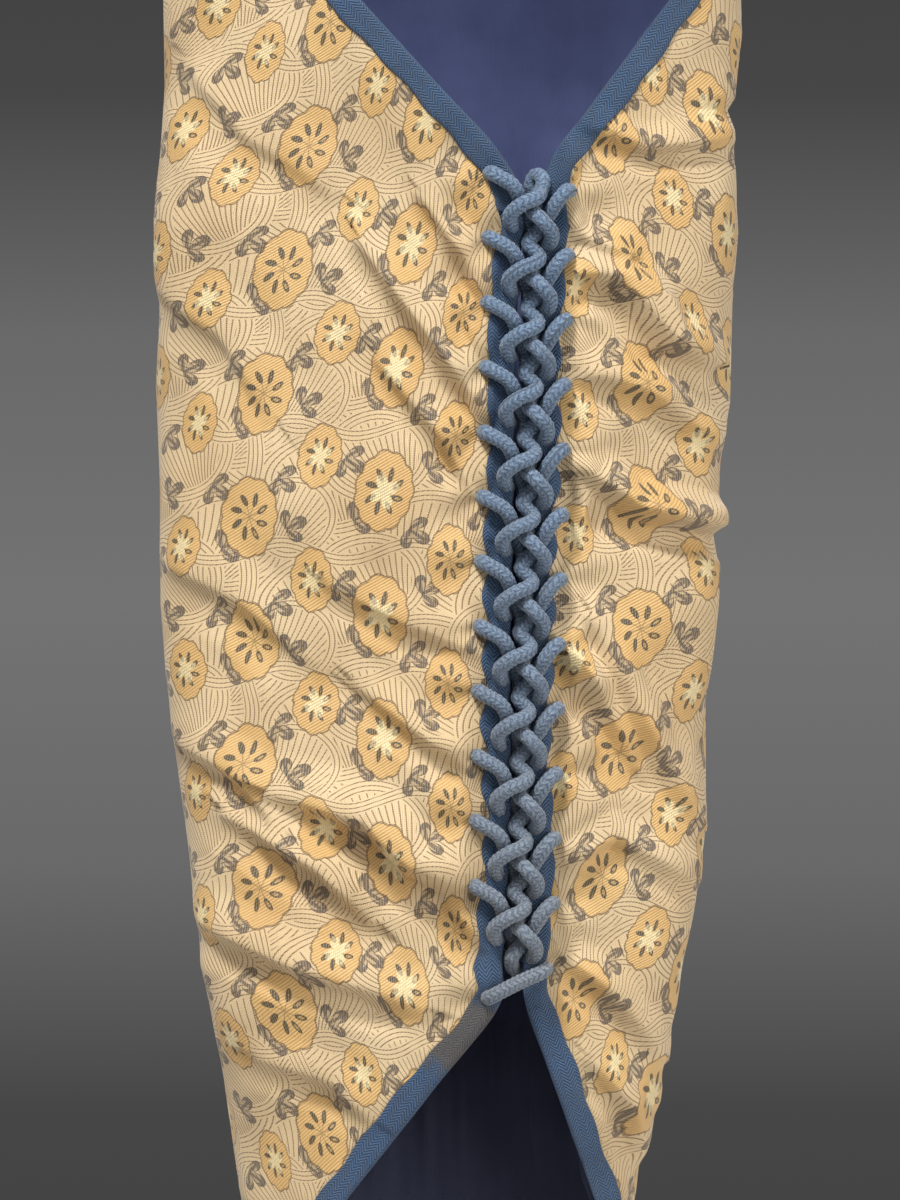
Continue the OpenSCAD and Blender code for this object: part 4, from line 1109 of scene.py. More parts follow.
# %% [markdown]
# Inside, the sleeve is lined with indigo cloth, which shows in the two open wedges. A Solidify
# modifier could give the cover an inside, but with the cover's own folds. The real lining is a
# separate cloth, cut a little wider, so it gets a grid of its own a little further in, with soft
# upright folds.

# %% The lining
LINING_OUT = -3.7


def soft_folds(x, z):
    """Long upright folds that die away towards both ends, where the lining is sewn in."""
    deep = 0.5 + 0.5 * np.sin(0.012 * z + 0.8)
    slow = np.sin(x * 0.19 + 0.010 * z) + 0.55 * np.sin(x * 0.43 - 0.02 * z + 1.3)
    loose = part_of(-z, 14, 60) * (1 - part_of(-z, 525, 560))
    return loose * (-1.9 * deep * (slow + 0.3 * np.sin(x * 0.9 + 0.03 * z)) - 1.6)


def flap_lining_rise(x, z):
    """The flaps' lining follows the cover's dips, so that it never stands out through it."""
    return 0.75 * np.minimum(cloth_rise(x, z), 0) - 0.4


for side, word in ((-1, "left"), (1, "right")):
    points, flat = flap_grid(side, 40, 130, LINING_OUT, flap_lining_rise)
    lining = sheet_piece(f"lining_flap_{word}", points, flap_lay(side, flat), lining_material)
    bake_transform(lining)

points, flat = back_grid(120, 200, LINING_OUT, soft_folds)
lining = sheet_piece("lining_back", points, back_lay(flat), lining_material)
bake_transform(lining)
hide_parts("lining_upper", "lining_elbow", "lining_fore", "core_upper", "core_fore")

# %% [markdown]
# The tape is folded round each cut edge, with half on the cover and half inside. One strip for
# each flap follows its whole edge: down the upper wedge, along the slit and down the lower wedge.
# A bevelled curve would float over the folds. So the tape's section is a short list of points,
# and each of them is laid on the cover along the whole edge. It is thick enough to show its own
# rounded edges, and it wavers a little where the cord pulls at it.


# %% The way of the tape
def edge_path(side):
    """The edge of a flap as points in the picture's plane, from the shoulder side down."""
    (x1, z1), (x0, z0) = UPPER_EDGE[side]
    (x2, z2), (x3, z3) = LOWER_EDGE[side]
    slit_z = np.linspace(-209, -467, 14)
    waver = 0.9 * np.sin(slit_z * 0.143 * 2 + side) + 0.6 * np.sin(slit_z * 0.05 + 2 * side)
    upper = [(mix(x0, x1, t), 0, mix(z0, z1, t)) for t in (-0.1, 0.0, 0.25, 0.5, 0.75, 0.93)]
    slit = [(float(slit_at(z)) + side * (SLIT_HALF - 0.2) - side * w, 0, z)
            for z, w in zip(slit_z, waver)]
    lower = [(mix(x2, x3, t), 0, mix(z2, z3, t)) for t in (0.06, 0.3, 0.55, 0.8, 1.0, 1.1)]
    return smooth_line(upper + slit + lower, 0.8)


def front_at(x, z, out):
    """The laced face's depth at a place of the picture's plane."""
    off = x - middle_x(z)
    u = clamp(np.abs(off) / half_width(z, off < 0), 0, 0.9995)
    return seam_y(z) - (seam_y(z) - front_y(z) + out) * (1 - u ** FRONT_ROUND) ** (1 / FRONT_ROUND)


print("the left edge is", round(float(edge_path(-1)[1][-1])), "mm long")

# %% Edging tape
# Across the tape: how far it lies over the cover, and how far it stands out from it.
TAPE_SECTION = ((TAPE_WIDE, 0.1), (8.3, 0.75), (7.8, 1.05), (6.2, 1.15), (4.4, 1.2), (2.6, 1.2),
                (1.0, 1.15), (0.1, 0.8), (-0.45, 0.0), (-0.6, -1.2), (-0.6, -2.6), (-0.4, -3.8),
                (0.3, -4.6), (1.6, -4.9), (3.4, -4.9), (5.2, -4.9))
WORN_AT = -494  # where the left flap's tape is worn


def tape_strip(name, side):
    line, run = edge_path(side)
    along, height = unit(np.gradient(line, axis=0)), line[:, 2]
    into = np.stack([-along[:, 2], 0 * run, along[:, 0]], -1) * side
    rows, lays = [], []
    spread = total_run(np.hypot(*np.diff(np.array(TAPE_SECTION), axis=0).T))
    beat = np.cos((height + FIRST_ROW + RIGHT_LOWER * (side > 0)) * (2 * math.pi / ROW_PITCH))
    slit = (height < -206) * (height > -470)
    widen = 1 + 0.05 * np.sin(run * 0.09 + side) + 0.05 * np.sin(run * 0.31) - 0.12 * beat * slit
    worn = hump(height - WORN_AT, 13) * (side < 0)
    for (over, out), s in zip(TAPE_SECTION, spread):
        place = line + into * (over * widen)[:, None]
        z = place[:, 2]
        x = np.clip(place[:, 0], side_at(-1, z), side_at(1, z))
        near, far = flap_ends(side, z)
        rise = cloth_rise(x, z) * calm((front_share(x, z) - near) / (far - near))
        rise = rise if out > 0 else 0.75 * np.minimum(rise, 0)
        rows.append(np.stack([x, front_at(x, z, out + rise), z], -1))
        lays.append(np.stack([0 * run + s, run, worn], -1))
    piece = sheet_piece(name, np.stack(rows), np.stack(lays), tape_material, flip=side > 0)
    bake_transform(piece)
    return piece


for side, word in ((-1, "left"), (1, "right")):
    strip = tape_strip(f"edging_{word}", side)
    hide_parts(f"tape_upper_{word}", f"tape_lower_{word}", f"slit_tape_{word}")
    print(strip.name, len(strip.data.vertices), "points")

# %% [markdown]
# The armour is thin hammered iron under black lacquer, and the mail is blackened iron wire. A
# plain glossy black would look like plastic. Real lacquer carries faint brush marks, is rubbed
# brown where it stands proud, and lets rust through at the edges. So each plate carries a measure
# of how near its edge a point is, and noise breaks that up into wear. Metals share one finish
# with different colours.


# %% Lacquer, metal and wood
def lacquer_finish():
    f = Finish("black_lacquered_iron", Coat_Weight=0.35, Coat_Roughness=0.22,
               Specular_IOR_Level=0.5)
    place = f.object_place()
    edge = f.lay()[3]
    spots = f.noise(place, 90.0, 5.0, 0.65)
    fine = f.noise(place, 700.0, 3.0)
    brushed = f.noise(f.stretched(place, (420, 420, 26)), 1.0, 2.0)
    rubbed = f.rise(edge * 0.55 + spots * 0.6, 0.52, 0.8)
    shade = f.blend(f.rise(spots, 0.35, 0.7), colour("1C1815"), colour("2B231D"))
    shade = f.blend(rubbed * 0.8, shade, colour("54382A"))
    shade = f.blend(f.rise(fine, 0.6, 0.72, 0.3), shade, colour("7A6A58"))
    f.set(Base_Color=shade, Roughness=rubbed * 0.3 + spots * 0.2 + 0.26)
    f.relief(spots * 0.5 + brushed * 0.25 + fine * 0.12, 0.3, 0.7)
    return f.material


def worn_metal(name, light, dark, rust, scale, rough=0.42):
    f = Finish(name)
    place = f.object_place()
    cloud = f.noise(place, scale, 4.0, 0.6)
    pits = f.noise(place, scale * 7, 2.0)
    shade = f.blend(f.rise(cloud, 0.35, 0.65), colour(dark), colour(light))
    tarnish = f.rise(f.noise(place, scale * 0.6, 5.0, 0.7), 0.5, 0.68)
    shade = f.blend(tarnish * 0.7, shade, colour(rust))
    f.set(Base_Color=shade, Roughness=tarnish * 0.3 + rough, Metallic=0.95 - tarnish * 0.6)
    f.relief(cloud * 0.4 + pits * 0.4, 0.12, 0.7)
    return f.material


def wood_finish():
    f = Finish("dark_toggle_wood", Roughness=0.4, Coat_Weight=0.3, Coat_Roughness=0.25)
    place = f.object_place()
    grain = f.noise(f.stretched(place, (60, 900, 900)), 1.0, 4.0)
    pores = f.noise(f.stretched(place, (300, 3000, 3000)), 1.0, 2.0)
    shade = f.blend(f.rise(grain, 0.35, 0.65), colour("3A2214"), colour("6B4226"))
    shade = f.blend(f.rise(pores, 0.56, 0.7, 0.7), shade, colour("20120A"))
    f.set(Base_Color=shade)
    f.relief(grain * 0.4 + pores * 0.5, 0.12, 0.6)
    return f.material


print("made by", [make.__name__ for make in (lacquer_finish, worn_metal, wood_finish)])

# %% The finishes on the small solid parts
lacquer = lacquer_finish()
mail_material = worn_metal("blackened_mail", "6C6A68", "2C2A29", "4A3426", 160.0)
rivet_material = worn_metal("iron_rivets", "4A4643", "262220", "46301F", 220.0, 0.36)
brass_material = worn_metal("old_brass", "B9924C", "7E602C", "4B4028", 180.0, 0.34)
wood_material = wood_finish()
for node, material in (("shoulder_rivets", rivet_material), ("splint_rivets", rivet_material),
                       ("hand_rivets", rivet_material), ("shoulder_eyelets", brass_material),
                       ("elbow_boss", brass_material), ("toggle_left", wood_material),
                       ("toggle_right", wood_material)):
    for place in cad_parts[node].material_slots:
        place.material = material
print("finishes for the armour are ready")

# %% [markdown]
# A plate is a thin piece of iron, a rounded oblong that is domed a little, with a raised bead
# round it, as a smith turns the edge. One could bevel a cube and bend it to the arm with
# modifiers. Here two grids of points, for the outside and the inside, are laid straight on the
# sleeve's form and closed along the border, so the same function makes small plates, splints and
# the large plates.


# %% Thin shells
def shell(outer, inner, drop=None):
    """A closed shell from two grids, with holes where drop has a middle and a radius."""
    nu, nv = outer.shape[:2]
    m = nu * nv
    faces = grid_faces(nu, nv) + grid_faces(nu, nv, start=m, flip=True)
    border = ([i * nv for i in range(nu)] + [(nu - 1) * nv + j for j in range(1, nv)]
              + [i * nv + nv - 1 for i in range(nu - 2, -1, -1)]
              + [j for j in range(nv - 2, 0, -1)])
    faces += [(b, a, a + m, b + m) for a, b in zip(border, border[1:] + border[:1])]
    points = np.concatenate([outer.reshape(-1, 3), inner.reshape(-1, 3)])
    if drop is not None:
        centres = np.array([points[list(face)].mean(0) for face in faces])
        kept = ~np.any([np.linalg.norm(centres - c, axis=1) < r for c, r in drop], axis=0)
        faces = [face for face, keep in zip(faces, kept) if keep]
    return points, faces


def joined(name, shells, lays, material, slot_name):
    """One piece from several shells."""
    points, faces, start = [], [], 0
    for shell_points, shell_faces in shells:
        points.append(shell_points)
        faces += [tuple(k + start for k in face) for face in shell_faces]
        start += len(shell_points)
    piece = make_mesh(name, np.concatenate(points), faces, np.concatenate(lays))
    piece.data.materials.append(material)
    return piece


print("a shell over one square has", len(shell(square, square - (0, 0, 1))[1]), "faces")


# %% A plate
def oblong(nu, nv, squareness):
    """A grid over a rounded oblong: across, along, and how near the border each point is."""
    a = np.sin(np.linspace(-1, 1, nu) * math.pi / 2)[:, None] + np.zeros((1, nv))
    b = np.sin(np.linspace(-1, 1, nv) * math.pi / 2)[None, :] + np.zeros((nu, 1))
    size = np.maximum(np.abs(a), np.abs(b))
    outline = (np.abs(a) ** squareness + np.abs(b) ** squareness) ** (1 / squareness)
    k = size / np.maximum(outline, 1e-9)
    return a * k, b * k, size


def plate(place, mid, half, nu, nv, out, thick, dome, bead, ridge, squareness=7.0,
          holes_at=None):
    """A plate on a surface: mid and half are its middle and half size in share and height."""
    a, b, size = oblong(nu, nv, squareness)
    share, z = mid[0] + a * half[0], mid[1] + b * half[1]
    rise = dome * (1 - a * a) * (1 - b * b) + ridge * hump(a, 0.22) * (1 - b ** 6)
    edge = 1 - size
    lip = bead * hump(edge - 0.1, 0.055) - 0.45 * thick * clamp(1 - edge / 0.035) ** 2
    outer = place(share, z, out + thick + rise + lip)
    inner = place(share, z, out + rise)
    near = hump(edge - 0.06, 0.08)
    lay = np.stack([share * 250, -z, near], -1).reshape(-1, 3)
    return shell(outer, inner, holes_at), np.concatenate([lay, lay])


PLATE_THICK, PLATE_OUT = 1.6, 2.0
print("plates are", PLATE_THICK, "mm thick")

# %% Small plates and splints
SMALL_PITCH, SMALL_TALL = 40.8, 30  # the small plates' rows, and each plate's height
SPLINT_MIDDLE, SPLINT_TALL = -468, 169.2
for row in range(1, 6):
    middle = -58 - (row - 1) * SMALL_PITCH - SMALL_TALL / 2
    made = [plate(on_back, (0.5 + c * 0.16, middle), (0.0575, SMALL_TALL / 2), 25, 25, PLATE_OUT,
                  PLATE_THICK, 0.7, 0.45, 0.5) for c in (-2, -1, 0, 1, 2)]
    piece = joined(f"arm_plates_row_{row}", *zip(*made), lacquer, "black_iron")
    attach(piece, "upper_arm")
    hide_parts(f"upper_plates_{row}")
for i in range(1, 8):
    made = [plate(on_back, (0.5 + (i - 4) * 0.118, SPLINT_MIDDLE), (0.044, SPLINT_TALL / 2), 21,
                  61, PLATE_OUT, PLATE_THICK, 0.4, 0.4, 1.3, 9.0)]
    piece = joined(f"forearm_splint_{i}", *zip(*made), lacquer, "black_iron")
    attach(piece, "forearm")
    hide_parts(f"splint_{i}")
print("25 small plates and 7 splints")

# %% [markdown]
# The shoulder plate is the top of the armour, with a low arch as its upper edge and three eyelets
# for cords. A Boolean would cut exact round holes. It is enough to leave out the faces near each
# eyelet, because the eyelet's own rim covers the ragged border.

# %% The shoulder plate
# The plate's top above the eyelets, its holes' radius, the room under it and half its height.
PLATE_HEAD, EYELET_ROOM, CLOTH_ROOM = 14, 4.3, 0.6
HEAD_HALF = (PLATE_HEAD + PLATE_FOOT) / 2
EYELETS = [on_back(0.5 + k * 0.3, 0.0, 1.4) for k in (-1, 0, 1)]


def shoulder_place(share, z, out):
    """The plate's upper edge is a low arch, so the whole grid is stretched up to it."""
    f = (share - 0.07) / 0.86
    upper = PLATE_HEAD - 9 * np.abs(2 * f - 1) ** 4
    return on_back(share, mix(-PLATE_FOOT, upper, (z + PLATE_FOOT) / (2 * HEAD_HALF)), out)


made, lays = plate(shoulder_place, (0.5, HEAD_HALF - PLATE_FOOT), (0.43, HEAD_HALF), 181, 61,
                   CLOTH_ROOM, PLATE_THICK, 0.0, 0.5, 0.0, 12.0,
                   [(e, EYELET_ROOM) for e in EYELETS])
piece = joined("shoulder_cap_plate", [made], [lays], lacquer, "black_iron")
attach(piece, "upper_arm")
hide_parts("shoulder_plate")
print("eyelets at", [[round(float(c), 2) for c in e] for e in EYELETS])

# %% [markdown]
# Over the elbow sits a shallow dish with flutes that run out from its middle. The Spin tool turns
# such a form from a profile, with a flat rim that would stand off the arm at two sides. So its
# rings are laid on the sleeve's back and only raised towards the middle, and the flutes are a
# wave round each ring.

# %% The elbow dish
DISH_MIDDLE, DISH_RADIUS, DISH_DEEP, FLUTES = (-2.26, -320), 42, 13, 16


def dish(rings, sectors):
    """A fluted dish that follows the sleeve's back at its rim."""
    r = np.sin(np.linspace(0.02, 1, rings) * math.pi / 2)[:, None]
    a = np.linspace(0, 2 * math.pi, sectors, endpoint=False)[None, :]
    x = DISH_MIDDLE[0] + DISH_RADIUS * r * np.cos(a)
    z = DISH_MIDDLE[1] + DISH_RADIUS * r * np.sin(a)
    off = np.abs(x - middle_x(z)) / (half_width(z, x < middle_x(z)) + PLATE_OUT)
    back = (seam_y(z)
            + (depth_back(z) + PLATE_OUT) * (1 - off ** BACK_ROUND) ** (1 / BACK_ROUND))
    flute = 0.5 * np.cos(a * FLUTES) * hump(r - 0.5, 0.22)
    lip = 0.6 * hump(r - 0.965, 0.02) - 0.7 * clamp(1 - (1 - r) / 0.012) ** 2
    inner = np.stack([x, back + DISH_DEEP * (1 - r * r) + flute, z], -1)
    outer = inner + np.stack([0 * x, PLATE_THICK + lip + 0 * x, 0 * x], -1)
    faces = grid_faces(rings, sectors, round_v=True, flip=True)
    m = rings * sectors
    faces += grid_faces(rings, sectors, round_v=True, start=m)
    rim = [(rings - 1) * sectors + k for k in range(sectors)]
    faces += [(k, j, j + m, k + m) for k, j in zip(rim, rim[1:] + rim[:1])]
    faces += [tuple(range(sectors)), tuple(range(m, m + sectors))[::-1]]
    near = hump(r - 0.96, 0.04) + 0.5 * hump(r - 0.1, 0.08) + 0 * a
    lay = np.stack([x, -z, near], -1).reshape(-1, 3)
    points = np.concatenate([outer.reshape(-1, 3), inner.reshape(-1, 3)])
    return (points, faces), np.concatenate([lay, lay])


made, lays = dish(36, 128)
piece = joined("elbow_dish_fluted", [made], [lays], lacquer, "black_iron")
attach(piece, "elbow_cap")
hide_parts("elbow_dish")
print("dish has", len(piece.data.polygons), "faces")

# %% [markdown]
# The mail is made of round rings that lie on the cloth, each held to its neighbours by small
# upright links. A ring pattern in a material would be flat at the outline, and instances of one
# ring couldn't bend with the elbow. So one ring and one link are made and then copied into one
# mesh, row by row, each turned to the cloth's own directions.

# %% Rings and links
MAIL_COLUMNS, MAIL_PITCH, MAIL_OUT = 26, 8.0, 1.15


def torus(wide, tall, wire, around, sides):
    """A round or oval ring of wire."""
    a = np.linspace(0, 2 * math.pi, around, endpoint=False)[:, None]
    b = np.linspace(0, 2 * math.pi, sides, endpoint=False)[None, :]
    x = (wide + wire * np.cos(b)) * np.cos(a)
    y = (tall + wire * np.cos(b)) * np.sin(a)
    return np.stack([x, y, wire * np.sin(b) + 0 * a], -1).reshape(-1, 3), (around, sides)


def set_on(form, size, centres, right, up, start):
    """Copies of one ring, each in its own frame; gives points and faces."""
    away = np.cross(right, up)
    points = centres[:, None]
    for axis, direction in enumerate((right, up, away)):
        points = points + form[None, :, axis:axis + 1] * direction[:, None]
    points = points.reshape(-1, 3)
    one = np.array(grid_faces(*size, round_u=True, round_v=True))
    count = len(form)
    faces = (one[None] + (np.arange(len(centres)) * count + start)[:, None, None]).reshape(-1, 4)
    return points, faces.tolist()


def frame_on(share, z, out):
    """A place on the back, and the directions to the right and up along the cloth."""
    middle = on_back(share, z, out)
    right = unit(on_back(share - 0.004, z, out) - on_back(share + 0.004, z, out))
    rough_up = on_back(share, z + 1, out) - on_back(share, z - 1, out)
    up = unit(rough_up - right * (rough_up * right).sum(-1, keepdims=True))
    return middle, right, up


print(MAIL_COLUMNS, "rings in a row, every", MAIL_PITCH, "mm")


# %% The mail on arm and wrist
def mail(name, top, low):
    rows = int(round((top - low) / MAIL_PITCH)) + 1
    share, z = np.meshgrid(np.linspace(0.1, 0.9, MAIL_COLUMNS), np.linspace(top, low, rows),
                           indexing="ij")
    points, faces, start = [], [], 0
    ring, ring_size = torus(3.0, 3.0, 0.5, 12, 5)
    link, link_size = torus(1.9, 1.0, 0.36, 8, 4)
    across = (share[:-1] + share[1:]) / 2, z[:-1]
    down = share[:, :-1], (z[:, :-1] + z[:, 1:]) / 2
    for form, size, (s, h), lies in ((ring, ring_size, (share, z), "flat"),
                                     (link, link_size, across, "across"),
                                     (link, link_size, down, "down")):
        middle, right, up = frame_on(s.ravel(), h.ravel(), MAIL_OUT)
        away = np.cross(right, up)
        if lies != "flat":
            right, up = (right, away) if lies == "across" else (up, away)
        p, f = set_on(form, size, middle, right, up, start)
        points.append(p)
        faces += f
        start += len(p)
    piece = make_mesh(name, np.concatenate(points), faces)
    piece.data.materials.append(mail_material)
    print(name, rows * MAIL_COLUMNS, "rings,", len(faces) * 2, "triangles")
    return piece


piece = mail("mail_of_the_arm", -52.0, -560.0)
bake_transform(piece)
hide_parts("mail_upper", "mail_elbow", "mail_fore")
piece = mail("mail_of_the_wrist", -568.0, -600.0)
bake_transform(piece)
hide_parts("mail_wrist")

# %% [markdown]
# Below the forearm the cloth goes on over the wrist to the back of the hand, where it ends in an
# arch over the knuckles. It could be part of the cover's own grid, but cloth and lining change
# bodies here, from the forearm to the hand. So wrist and hand are sheets of their own that meet
# at the wrist's lower edge.

# %% Wrist and hand
HAND_CLOTH_END = 702


def knuckles(drop, f):
    """The arch in which the hand guard ends."""
    return -drop + 26 * np.abs(2 * f - 1) ** 3


def hand_grid(top, low, nu, nv, out):
    """Cloth on the back of the wrist or hand; low is a height, or an arch of heights."""
    f = np.linspace(0, 1, nu)[:, None]
    z = mix(top, low(f) if callable(low) else low, np.linspace(0, 1, nv)[None, :])
    share = mix(0.03, 0.97, f)
    flat = on_back(share, z, 0.0)
    return on_back(share, z, out + 0.5 * back_rise(flat[..., 0], z)), flat


def hand_end(f):
    return knuckles(HAND_CLOTH_END, f)


WRIST = dict(top=-563.6, low=-604.4, nu=70, nv=24)
HAND = dict(top=-HAND_TOP, low=hand_end, nu=70, nv=60)
for name, part, out, outside, body, nodes, rests in (
    ("wrist_cover", WRIST, -1.9, True, None, (), "wrist_lining"),
    ("wrist_lining", WRIST, -3.9, False, None, ("lining_wrist",), "wrist_cover"),
    ("hand_cover", HAND, -0.3, True, "hand", ("hand_cloth",), "hand_inside"),
    ("hand_inside", HAND, -3.2, False, "hand", ("hand_lining",), "hand_cover"),
):
    points, flat = hand_grid(out=out, **part)
    material, slot_name = (brocade, "brocade") if outside else (lining_material, "lining")
    piece = sheet_piece(name, points, back_lay(flat, 4.0), material, flip=outside)
    if body is None:
        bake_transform(piece)
    else:
        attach(piece, body)
    if nodes:
        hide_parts(*nodes)

# %% [markdown]
# A domed plate with four knuckles guards the back of the hand. Sculpting would shape the knuckles
# freely. Here they are a wave of four crests that fades in towards the lower edge, so the plate
# is made by the same function as the others, and only its place on the sleeve differs.


# %% The hand plate
def hand_bulge(x, z):
    u, v = 2 * (x - middle_x(z)) / 100, part_of(-z, HAND_TOP, HAND_END)
    return 7 * clamp(1 - u * u) * np.sin(math.pi * mix(0.12, 0.9, v))


def hand_place(share, z, out):
    """The hand plate's own grid: z runs from 0 at the wrist to -1 at the four knuckles."""
    f = (share - 0.05) / 0.9
    upper = -608 - 8 * np.abs(2 * f - 1) ** 3
    real = mix(upper, knuckles(HAND_END, f), -z)
    flat = on_back(share, real, 0.0)
    four = 0.5 - 0.5 * np.cos(2 * math.pi * 4 * clamp(share * 1.5 - 0.25))
    ridges = 0.8 * four * part_of(-z, 0.55, 0.9)
    return on_back(share, real, out + hand_bulge(flat[..., 0], real) + ridges)


made, lays = plate(hand_place, (0.5, -0.5), (0.45, 0.5), 101, 81, CLOTH_ROOM, PLATE_THICK, 0.0,
                   0.6, 0.0, 10.0)
piece = joined("hand_guard_plate", [made], [lays], lacquer, "black_iron")
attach(piece, "hand")
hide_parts("hand_plate")
print("hand plate has", len(piece.data.polygons), "faces")

# %% [markdown]
# The thumb has a small guard of its own: a padded plate that hangs from the hand cloth by a short
# band of tape. It could be cut out of a cylinder, but would then lack the turned edge of the other
# plates. So the same function lays it on a piece of a round instead of on the arm. The band is a
# thin closed shell that runs from the cloth's edge onto that round.

# %% The thumb guard
# The thumb's back is a piece of a round: its middle, the top of the round, radius and half width.
THUMB_X, THUMB_TOP, THUMB_ROUND, THUMB_HALF = 72.73, 18.41, 24.0, 17.0


def thumb_place(share, z, out):
    """Share runs from -1 to 1 over the thumb's back."""
    turn = share * math.asin(THUMB_HALF / THUMB_ROUND)
    x = THUMB_X + (THUMB_ROUND + out) * np.sin(turn)
    y = THUMB_TOP - THUMB_ROUND + (THUMB_ROUND + out) * np.cos(turn)
    return np.stack(np.broadcast_arrays(x, y, z), -1)


made, lays = plate(thumb_place, (0.0, -647), (0.9, 29), 31, 45, -2.8, 2.7, 0.0, 0.1, 0.0, 5.0)
padding = joined("thumb_padding", [made], [lays * (0.16, 1, 0)], lining_material, "lining")
made, lays = plate(thumb_place, (0.0, -648), (0.97, 26), 31, 45, 0.3, PLATE_THICK, 0.3, 0.4, 0.6,
                   5.0)
guard = joined("thumb_guard_plate", [made], [lays], lacquer, "black_iron")
for piece, node in ((padding, "thumb_cloth"), (guard, "thumb_plate")):
    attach(piece, "thumb")
    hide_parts(node)
print("thumb plate has", len(guard.data.polygons), "faces")

# %% The thumb's band
# It lies on the hand cloth's edge and then on the thumb's round.
TAB_THICK = 2.4
tab_x, tab_z = np.meshgrid(np.linspace(49.6, 88.0, 40), np.linspace(-606.0, -617.4, 12),
                           indexing="ij")
round_y = THUMB_TOP - THUMB_ROUND + np.sqrt(
    np.maximum(THUMB_ROUND ** 2 - (tab_x - THUMB_X) ** 2, 0))
seat = float(on_back(0.03, -HAND_TOP, -1.4)[1]) - 0.4
tab_y = np.where(tab_x < THUMB_X - THUMB_HALF, seat, round_y - 0.3)
outer = np.stack([tab_x, tab_y, tab_z], -1)
inner = outer - (0, TAB_THICK, 0)
tab_lay = np.stack([-tab_z - HAND_TOP, tab_x, 0 * tab_y], -1).reshape(-1, 3)
piece = joined("thumb_band", [shell(outer, inner)], [np.concatenate([tab_lay, tab_lay])],
               tape_material, "tape")
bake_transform(piece)
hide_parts("thumb_tab")
print("hand and thumb are dressed")

# %% [markdown]
# The cloth's top edge is bound with the same tape, folded over cover and lining. It could be an
# array of the edging's section along a curve. As the edge is level and the sleeve's form gives
# its points, a few rows of points are enough.

# %% The shoulder edge
# Across the binding, from its outer edge over the cloth's edge to its inner one: out and height.
BINDING = np.array([(0.4, -15.5), (0.9, -15.3), (1.1, -14.5), (1.0, -12.5), (0.4, -11.4),
                    (-2.0, -11.0), (-4.2, -11.4), (-4.8, -13.0), (-4.9, -15.5)])
shares = np.linspace(0.004, 0.996, 120)[:, None]
points = on_back(shares, BINDING[None, :, 1], BINDING[None, :, 0])
spread = total_run(np.linalg.norm(np.diff(BINDING, axis=0), axis=1))
lay = np.stack(np.broadcast_arrays(spread[None, :], across_from(points), 0.0), -1)
piece = sheet_piece("shoulder_binding", points, lay, tape_material)
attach(piece, "upper_arm")
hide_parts("top_binding")
print("binding is", round(float(spread[-1]), 1), "mm wide, laid out flat")

# %% [markdown]
# Two wooden toggles hang at the shoulder on thin cords, each knotted behind its eyelet and turned
# once round the toggle's groove, and inside the guards are two cord loops for the middle finger
# and the thumb. They could hang by a rope simulation. They are so short that their way can be
# written down, and the plaited tube of the lacing serves again, made smaller.


# %% Small cords
def small_cord(name, points, thick, node, body):
    """A thinner cord with the lacing's own plait, made smaller."""
    line, run = smooth_line(points, 0.35)
    size = thick / CORD_THICK
    piece = tube(name, line, thick / 2, 12, lambda r, a: plait(r / size, a) * size, run / size)
    piece.data.materials.append(cord_material)
    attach(piece, body)
    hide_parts(node)


def knot(name, middle, radius, body):
    """A ball knot: a tube wound on itself until it closes."""
    t = np.linspace(0, 2 * math.pi, 160, endpoint=False)
    wide = 2 + np.cos(4 * t)
    wind = np.stack([np.cos(3 * t) * wide, np.sin(3 * t) * wide, 1.6 * np.sin(4 * t)], -1)
    piece = tube(name, middle + wind * (radius - 0.9) / 3.1, 0.95, 8)
    piece.data.materials.append(cord_material)
    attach(piece, body)
    return piece


print("small cords are plaited like the lacing")

# %% The toggles' cords
# The right eyelet's middle and the direction out of it; the left one mirrors it.
EYELET_MIDDLE, EYELET_WAY = (56.3234, -5.11109, 0.0), (0.233918, 0.972256, 0.0)
# The toggle's middle: how far out of the eyelet and how far down, and the round of its cord.
TOGGLE_OUT, TOGGLE_DOWN, TOGGLE_ROUND = 7.7, 30, 4.6
for side, word in ((-1, "left"), (1, "right")):
    seat = np.array(EYELET_MIDDLE) * (side, 1, 1)
    away = np.array(EYELET_WAY) * (side, 1, 1)
    local = [(-3.4, 0), (-1.0, 0), (1.0, 0), (4.0, 0), (6.4, -0.6), (8.0, -2.2)]
    local += [(TOGGLE_OUT + TOGGLE_ROUND, -10), (TOGGLE_OUT + TOGGLE_ROUND, -20)]
    local += [(TOGGLE_OUT + TOGGLE_ROUND * math.cos(a), TOGGLE_ROUND * math.sin(a) - TOGGLE_DOWN)
              for a in np.radians(np.arange(0, -281, -28))]
    path = [seat + y * away + (0, 0, z) for y, z in local]
    body = f"toggle_{word}_body"
    ball = knot(f"toggle_knot_{word}", seat - 5.2 * away, 4.0, body)
    small_cord(f"toggle_string_{word}", path, 2.8, f"toggle_cord_{word}", body)


# %% The finger loops
def loop_path(x, y, z, radius):
    """A level loop that starts and ends in the cloth behind it."""
    turns = np.radians(np.arange(14, 347, 12))
    ring = [(x + radius * math.sin(t), y + radius * math.cos(t), z) for t in turns]
    return [(x + 2.4, y + radius + 2.2, z)] + ring + [(x - 2.4, y + radius + 2.2, z)]


LOOP_THICK = 3.2
small_cord("middle_finger_loop", loop_path(-4.7, 11.8, -666.4, 14.6), LOOP_THICK, "finger_loop",
           "hand")
small_cord("thumb_inner_loop", loop_path(72.7, 2.6, -662.0, 11.0), LOOP_THICK, "thumb_loop",
           "thumb")

# %% [markdown]
# A plain pale floor, and the light of a studio: one lamp from the upper left, a wide weaker one
# from the right, one from behind and an even sky. A wall behind the sleeve would throw its own
# light and stand in the way in other views. So the backdrop is in the sky: the camera sees soft
# greys there, and everything else is lit by one even grey.

# %% The floor
FLOOR_HALF, FLOOR_BELOW = 1.9, 0.004  # in metres


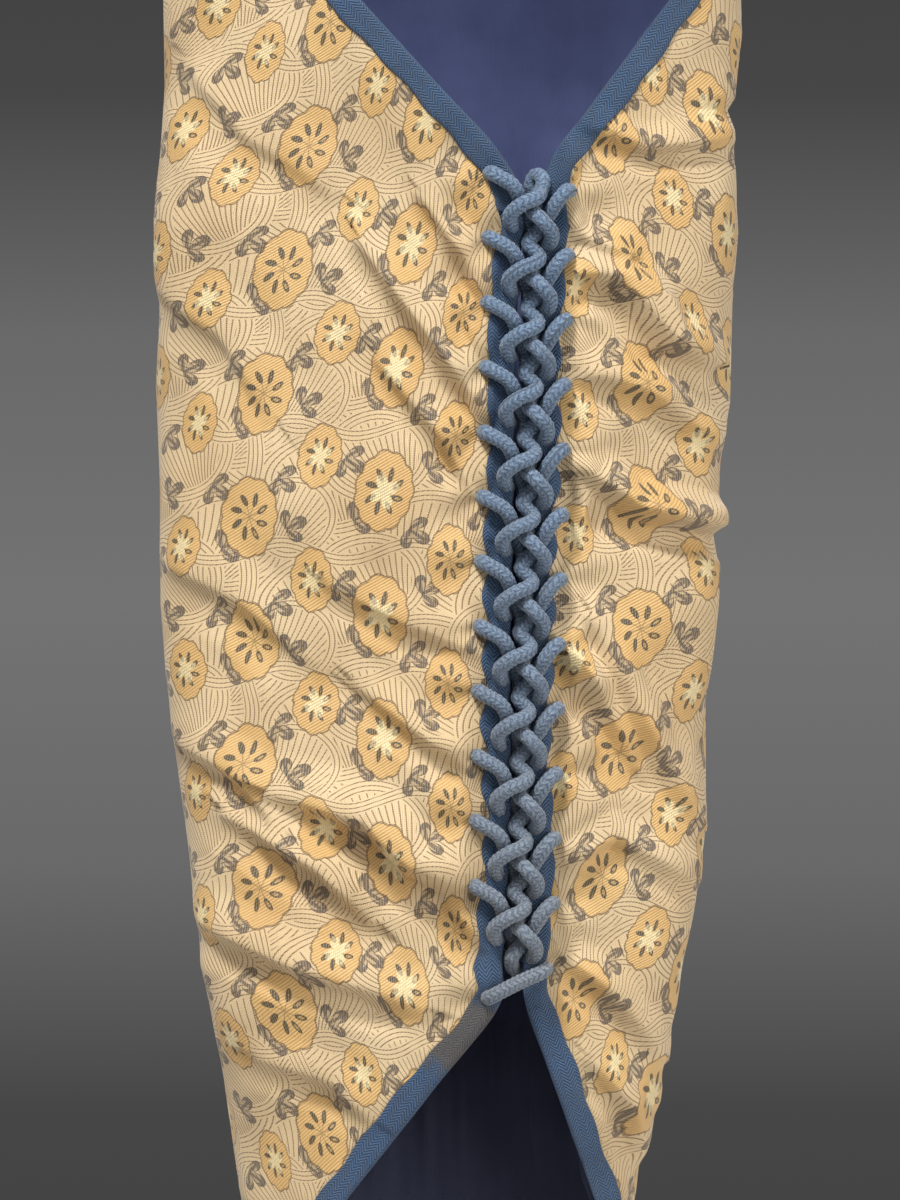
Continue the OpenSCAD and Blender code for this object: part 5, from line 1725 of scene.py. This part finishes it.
def floor_finish():
    """Pale near the sleeve; nothing is left of it at its edge, or when seen from below."""
    f = Finish("pale_floor", Roughness=0.9)
    place = f.object_place()
    cloud = f.noise(place, 1.2, 3.0)
    f.set(Base_Color=f.blend(cloud, colour("B4B2AF"), colour("C2C0BC")))
    x, y = [f.node("SeparateXYZ", {}, axis, Vector=place) for axis in "XY"]
    away = f.hypot(x, y)
    from_below = f.node("NewGeometry", {}, "Backfacing")
    f.set(Alpha=(1 - f.rise(away * 0.5, 0.35, 0.9)) * (1 - from_below))
    return f.material


floor_z = cad_box[0][2] - FLOOR_BELOW
mesh = bpy.data.meshes.new("floor")
mesh.from_pydata([(FLOOR_HALF * x, FLOOR_HALF * y, floor_z)
                  for x, y in ((-1, -1), (1, -1), (1, 1), (-1, 1))], [], [(0, 1, 2, 3)])
mesh.materials.append(floor_finish())
floor = bpy.data.objects.new("floor", mesh)
bpy.context.scene.collection.objects.link(floor)
print("the floor lies", FLOOR_BELOW, "m under the hand")

# %% The lamps
LAMPS_AIM = (0, 0, -0.34)


def lamp(name, place, power, size):
    """A square lamp that points at the sleeve's middle."""
    light = bpy.data.lights.new(name, "AREA")
    light.energy, light.size = power, size
    piece = bpy.data.objects.new(name, light)
    piece.location = place
    way = piece.location - Vector(LAMPS_AIM)
    piece.rotation_euler = way.to_track_quat("Z", "Y").to_euler()
    bpy.context.scene.collection.objects.link(piece)


lamp("key", (-0.9, -1.5, 2.25), 120, 0.7)
lamp("fill", (2.2, -2.2, 0.1), 66, 2.0)
lamp("back", (0.6, 2.6, 1.2), 46, 1.8)
print("lamps:", [light.name for light in bpy.data.lights])

# %% The sky
# The backdrop's greys, from the level of the eye (0) up and down (1).
BACKDROP = ((0.0, "737373"), (0.035, "696969"), (0.066, "474747"), (0.1, "3E3E3E"),
            (1.0, "4A4A4A"))
world = bpy.data.worlds.new("studio")
bpy.context.scene.world = world
world.use_nodes = True
sky = Recipe(world.node_tree)
way = sky.node("TexCoord", {}, "Generated")
height = abs(sky.node("SeparateXYZ", {}, "Z", Vector=way))
grey = sky.node("ValToRGB", {"stops": [(p, colour(c)) for p, c in BACKDROP]}, "Color", Fac=height)
seen = sky.node("LightPath", {}, "Is Camera Ray")
sky.feed(sky.nodes["Background"].inputs["Color"], sky.blend(seen, colour("98989C"), grey))
print("stage is set")

# %% [markdown]
